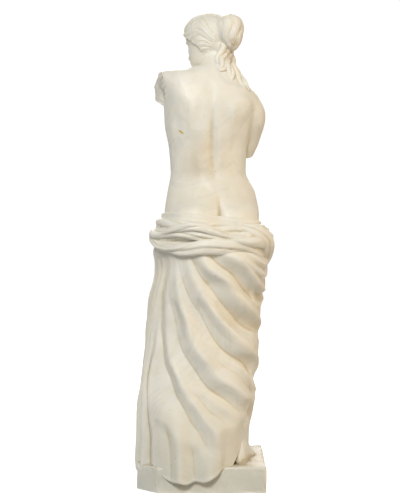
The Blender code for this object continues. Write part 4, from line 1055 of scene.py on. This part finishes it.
def footSkins(heelX, heelY, direction, length):
    # sections from heel to toe, flat below, with five toes and an ankle
    along = np.linspace(0.0, 1.0, 60)[:, None]
    halfWidth, high = columnsAt(feet["sections"], along)
    angle = fullTurn(56)
    lift = high * np.sin(angle)
    lift = np.where(lift > 0, lift, -0.05)
    across = halfWidth * np.cos(angle)
    foot = together(across, -along * 0.9, lift)
    spin = np.array(Matrix.Rotation(math.radians(direction), 3, "Z"))
    ground = (statue["plinthTop"] - statue["ground"]) / statue["height"]
    place = np.array((heelX, heelY, ground))
    skins = [inMetres(foot * length @ spin.T + place)]
    side = 1.0 if heelX < 0 else -1.0
    for toe, wide in enumerate(feet["toes"]):
        x = side * (feet["firstToe"] - feet["toeStep"] * toe)
        tip = -(1.02 - 0.045 * toe - (0.0 if toe else 0.02))
        line = np.array((
            (x * 0.92, tip + 0.3, 0.06), (x, tip + 0.14, 0.075), (x, tip + 0.05, 0.045), (x, tip, 0.035),
        ))
        line = line * length @ spin.T + place
        radii = np.array((wide, wide * 0.95, wide, wide * 0.8)) * length
        skins.append(tube(line, radii, 24, 24, rounded=0.12))
    x = heelX + 0.22 * length * math.sin(math.radians(direction))
    y = heelY - 0.22 * length * math.cos(math.radians(direction))
    ankle = ((x, y, ground + 0.02), (x, y, ground + 0.05), (x, y, ground + feet["ankleTop"]))
    r = feet["ankle"]
    skins.append(tube(ankle, (r, r * 0.92, r * 1.15), 48, 40))
    return skins


def makePlinth(marble):
    # the block and both feet joined; edges and corners sink by the wear times waves times exp of minus
    # the squared distance over the reach, and the whole block by a slight unevenness
    base = formOf("block", *skinned(plinthSkin()))
    changes = [
        ("UNION", formOf(f"foot{number}{part}", *skinned(skin)))
        for number, place in enumerate(feet["places"]) for part, skin in enumerate(footSkins(*place))
    ]
    points, faces, source = united(base, changes)
    points = softenedSeams(points, faces, source, (("block", 2, 2), ("foot06", 8, 20), ("foot16", 8, 20)))
    normals = outward(points, faces)
    level = points[:, 2]
    long, short = plinth["wearLengths"]
    worn = np.clip(waves(points, long, 41) + 0.5 * waves(points, short, 42) - 0.15, 0.0, 1.5)
    reach = plinth["edgeReach"]
    nearEdge = bell((level - 0.043) / reach) + 0.5 * bell(level / reach)
    nearEdge = nearEdge * bell(fromOutline(points) / reach)
    corners = points[:, None, :2] - plinthCorners()[None] - np.array(statue["shift"])
    away = np.linalg.norm(corners, axis=2).min(1)
    nearEdge = nearEdge + bell(away / plinth["cornerReach"]) * (level > 0.003)
    block = np.zeros(len(points))
    block[faces[source == "block"].ravel()] = 1.0
    sunk = plinth["wear"] * worn * nearEdge
    sunk = sunk + plinth["uneven"] * (1.0 + waves(points, plinth["unevenLength"], 43)) * (level > 0.002)
    upper = block * eased((normals[:, 2] - 0.5) / 0.4)
    points = points - normals * (sunk * block)[:, None]
    piece = carvedPiece("plinth", points, faces, marble)
    pointValues(piece.data, "dust", upper * (points[:, 2] > 0.03))
    return piece


# ---- marble

marbleLook = {
    "light": (0.84, 0.815, 0.735, 1.0),
    "warm": (0.76, 0.7, 0.55, 1.0),
    "grey": (0.6, 0.6, 0.53, 1.0),
    # painted shade: a warm ochre for the hollows and a darker brown for the deepest creases
    "hollowShade": (0.66, 0.56, 0.35, 1.0),
    "creviceShade": (0.4, 0.31, 0.2, 1.0),
    "pale": (0.9, 0.87, 0.8, 1.0),
    "tan": (0.58, 0.47, 0.32, 1.0),
    "dust": (0.5, 0.42, 0.29, 1.0),
    "speck": (0.16, 0.15, 0.14, 1.0),
    "yellow": (0.66, 0.47, 0.035, 1.0),
    "brownSpot": (0.4, 0.27, 0.13, 1.0),
    # how much of its colour each layer lays over the ones before it
    "shares": {
        "broad": 0.5, "mottled": 0.3, "vein": 0.2, "low": 0.45, "hollow": 0.42, "deep": 0.5, "worn": 0.35,
        "dust": 0.6, "specks": 0.55, "smudge": 0.4, "tanned": 0.7, "brownSpot": 0.75, "mark": 0.95,
    },
    # ovals on the stone: colour, centre, half sizes, lean, softness; then a noise that breaks them up:
    # scale, detail, roughness, and the range in which it shows
    "spots": {
        "smudge": ("warm", (0.0, 0.07, 0.6), (0.09, 0.05, 0.16), 0.0, 0.6, (16.0, 5.0, 0.6), 0.5, 0.72),
        "tanned": ("tan", (-0.004, 0.06, 0.551), (0.034, 0.06, 0.022), 0.4, 0.9, (22.0, 4.0), 0.3, 0.62),
        # a brown oval on her right side below the bun, broken up by noise
        "brownSpot": ("brownSpot", (-0.047, 0.045, 0.735), (0.012, 0.03, 0.022), 0.0, 0.5, (60.0, 4.0), 0.35, 0.65),
    },
    "mark": ((0.0375, 0.055, 0.6), (0.0056, 0.03, 0.0016), math.radians(-38.0), 0.25),
    "veinNoise": (5.0, 6.0, 0.6, 1.6), "speckCells": 70.0,
    "grain": {"Strength": 0.3, "Distance": 0.0004},
    "stone": {
        "Subsurface Weight": 0.2, "Subsurface Radius": (0.005, 0.0042, 0.0026), "Subsurface Scale": 1.0,
        "Specular IOR Level": 0.42,
    },
}


def preset(node, values):
    # values for the inputs of a node, by their names
    for name, value in values.items():
        node.inputs[name].default_value = value


def makeMarble():
    # warm white stone: broad and fine tints, painted warm shade in the hollows and darker painted shade in
    # the deepest creases, greyer low down, specks, stains and a brown spot below the bun
    material = bpy.data.materials.new("marble")
    material.use_nodes = True
    tree = material.node_tree
    shader = tree.nodes["Principled BSDF"]
    colour = marbleLook["light"]

    def node(kind, **values):
        made = tree.nodes.new(kind)
        for key, value in values.items():
            setattr(made, key, value)
        return made

    def feed(socket, value):
        # a value, or a link from another node's output
        if isinstance(value, (float, tuple)):
            socket.default_value = value
        else:
            tree.links.new(value, socket)

    place = node("ShaderNodeTexCoord").outputs["Object"]

    def noise(scale, detail, rough=0.55, distortion=0.0):
        made = node("ShaderNodeTexNoise")
        feed(made.inputs["Vector"], place)
        preset(made, {"Scale": scale, "Detail": detail, "Roughness": rough, "Distortion": distortion})
        return made.outputs["Fac"]

    def ranged(value, low, high, toLow=0.0, toHigh=1.0):
        made = node("ShaderNodeMapRange", interpolation_type="SMOOTHSTEP")
        feed(made.inputs["Value"], value)
        preset(made, {"From Min": low, "From Max": high, "To Min": toLow, "To Max": toHigh})
        return made.outputs["Result"]

    def sums(operation, a, b):
        made = node("ShaderNodeMath", operation=operation)
        feed(made.inputs[0], a)
        feed(made.inputs[1], b)
        return made.outputs[0]

    def cover(layer, value, name):
        # the colour of that name over the ones before it: its share times the value
        nonlocal colour
        made = node("ShaderNodeMix", data_type="RGBA")
        feed(made.inputs[0], sums("MULTIPLY", value, marbleLook["shares"][layer]))
        feed(made.inputs[6], colour)
        feed(made.inputs[7], marbleLook[name])
        colour = made.outputs[2]

    def spot(centre, halfSizes, lean, soft):
        # 1 inside an oval about one place that leans to a side, 0 outside
        made = node("ShaderNodeMapping", vector_type="TEXTURE")
        feed(made.inputs["Vector"], place)
        preset(made, {"Location": centre, "Rotation": (0.0, lean, 0.0), "Scale": halfSizes})
        length = node("ShaderNodeVectorMath", operation="LENGTH")
        feed(length.inputs[0], made.outputs[0])
        return ranged(length.outputs["Value"], 1.0 + soft, 1.0 - soft)

    def fromPoints(name):
        return node("ShaderNodeAttribute", attribute_name=name).outputs["Fac"]

    hollow = fromPoints("hollow")
    height = node("ShaderNodeSeparateXYZ")
    feed(height.inputs[0], place)

    cover("broad", ranged(noise(7.0, 4.0), 0.4, 0.66), "warm")
    mottled = ranged(noise(38.0, 5.0, 0.62), 0.46, 0.7)
    cover("mottled", mottled, "warm")
    vein, veinBack = (ranged(noise(*marbleLook["veinNoise"]), low, 0.5) for low in (0.47, 0.53))
    cover("vein", sums("MULTIPLY", vein, veinBack), "grey")
    cover("low", ranged(height.outputs["Z"], 0.2, 0.03), "grey")
    # painted shade: the hollows turn warm ochre and the deepest creases dark brown, by how hollow each point
    # lies, broken a little by the mottling
    uneven = sums("ADD", hollow, sums("MULTIPLY", sums("SUBTRACT", mottled, 0.5), 0.12))
    cover("hollow", ranged(uneven, -0.05, 0.62), "hollowShade")
    cover("deep", ranged(uneven, 0.3, 1.05), "creviceShade")
    cover("worn", ranged(hollow, -0.15, -0.8), "pale")
    cover("dust", fromPoints("dust"), "dust")
    cells = node("ShaderNodeTexVoronoi")
    feed(cells.inputs["Vector"], place)
    preset(cells, {"Scale": marbleLook["speckCells"]})
    dots = ranged(cells.outputs["Distance"], 0.085, 0.04)
    cover("specks", sums("MULTIPLY", dots, ranged(noise(30.0, 2.0), 0.58, 0.62)), "speck")
    for layer, (name, centre, halfSizes, lean, soft, broken, low, high) in marbleLook["spots"].items():
        oval = spot(centre, halfSizes, lean, soft)
        cover(layer, sums("MULTIPLY", oval, ranged(noise(*broken), low, high)), name)
    cover("mark", spot(*marbleLook["mark"]), "yellow")
    feed(shader.inputs["Base Color"], colour)
    feed(shader.inputs["Roughness"], ranged(noise(26.0, 4.0), 0.3, 0.75, 0.42, 0.62))

    bump = node("ShaderNodeBump")
    preset(bump, marbleLook["grain"])
    pits = ranged(noise(230.0, 3.0, 0.6), 0.6, 0.75, 0.0, -1.0)
    fine = sums("MULTIPLY", noise(700.0, 3.0, 0.6), 0.35)
    feed(bump.inputs["Height"], sums("ADD", sums("ADD", fine, pits), noise(90.0, 4.0)))
    feed(shader.inputs["Normal"], bump.outputs["Normal"])
    preset(shader, marbleLook["stone"])
    return material


# ---- floor, light and camera

studio = {
    "floor": 1.6,  # half of the flat part's reach, in metres
    "backdrop": 1.2, "backdropTop": 4.0,
    "paper": {
        "Base Color": (0.93, 0.93, 0.93, 1.0), "Roughness": 0.9,
        "Emission Color": (1.0, 1.0, 1.0, 1.0), "Emission Strength": 0.74,
    },
    "lights": (
        # name, place, aim, size, watts, colour
        ("keyLight", (0.34, 2.65, 2.05), (0.0, 0.0, 0.42), 0.7, 60.0, (1.0, 0.99, 0.965)),
        ("warmSide", (-1.9, 0.7, 0.4), (0.0, 0.0, 0.35), 1.0, 10.5, (1.0, 0.6, 0.12)),
        ("frontFill", (0.0, -2.4, 1.7), (0.0, 0.0, 0.45), 1.6, 42.0, (1.0, 0.98, 0.96)),
    ),
    "world": {"Color": (1.0, 0.975, 0.91, 1.0), "Strength": 0.27},
    "camera": (0.0058, 2.4, 0.52), "pitch": -2.85, "focal": 101.2,
}


def placedObject(name, data):
    # a new object in the scene
    made = bpy.data.objects.new(name, data)
    bpy.context.scene.collection.objects.link(made)
    return made


def makeStudio():
    # a pale floor that curves up into a backdrop on every side, three soft lights and the camera
    turn = fullTurn(96)
    far, curve = studio["floor"] * 2, studio["backdrop"]
    bend = np.linspace(0.0, math.pi / 2, 18)
    reach = np.concatenate((np.linspace(0.02, far, 20), far + curve * np.sin(bend), (far + curve,)))[:, None]
    level = np.concatenate((np.zeros(20), curve * (1 - np.cos(bend)), (studio["backdropTop"],)))[:, None]
    points = together(reach * np.cos(turn), reach * np.sin(turn), level)
    rows, columns = points.shape[:2]
    a, b, c, d = (cell.ravel() for cell in gridTriangles(rows, columns, False))
    flat = np.concatenate((points.reshape(-1, 3), np.zeros((1, 3))))
    here = np.arange(columns)
    fan = np.stack((here, np.roll(here, -1), np.full(columns, rows * columns)), 1)
    faces = np.concatenate((np.stack((a, c, b), 1), np.stack((a, d, c), 1), fan))
    floor = placedObject("paleFloor", meshOf("paleFloor", flat, faces))
    floor.data.polygons.foreach_set("use_smooth", np.ones(len(faces), bool))
    paper = bpy.data.materials.new("palePaper")
    paper.use_nodes = True
    preset(paper.node_tree.nodes["Principled BSDF"], studio["paper"])
    floor.visible_diffuse = False  # the paper is seen, and lights nothing
    floor.data.materials.append(paper)

    for name, place, aim, size, watts, colour in studio["lights"]:
        light = bpy.data.lights.new(name, "AREA")
        light.size = size
        light.energy = watts
        light.color = colour
        lamp = placedObject(name, light)
        lamp.location = place
        lamp.rotation_euler = (Vector(aim) - Vector(place)).to_track_quat("-Z", "Y").to_euler()

    world = bpy.data.worlds.new("studio")
    world.use_nodes = True
    preset(world.node_tree.nodes["Background"], studio["world"])
    bpy.context.scene.world = world
    bpy.context.scene.view_settings.view_transform = "Standard"

    camera = placedObject("camera", bpy.data.cameras.new("camera"))
    camera.data.sensor_fit = "VERTICAL"
    camera.data.sensor_height = 36.0
    camera.data.lens = studio["focal"]
    camera.location = studio["camera"]
    camera.rotation_euler = (math.radians(90.0 + studio["pitch"]), 0.0, math.radians(180.0))
    bpy.context.scene.camera = camera


makeStudio()
print("studio made")
marble = makeMarble()
makeFigure(marble)
makeMantle(marble)
makeRoll(marble)
makePlinth(marble)
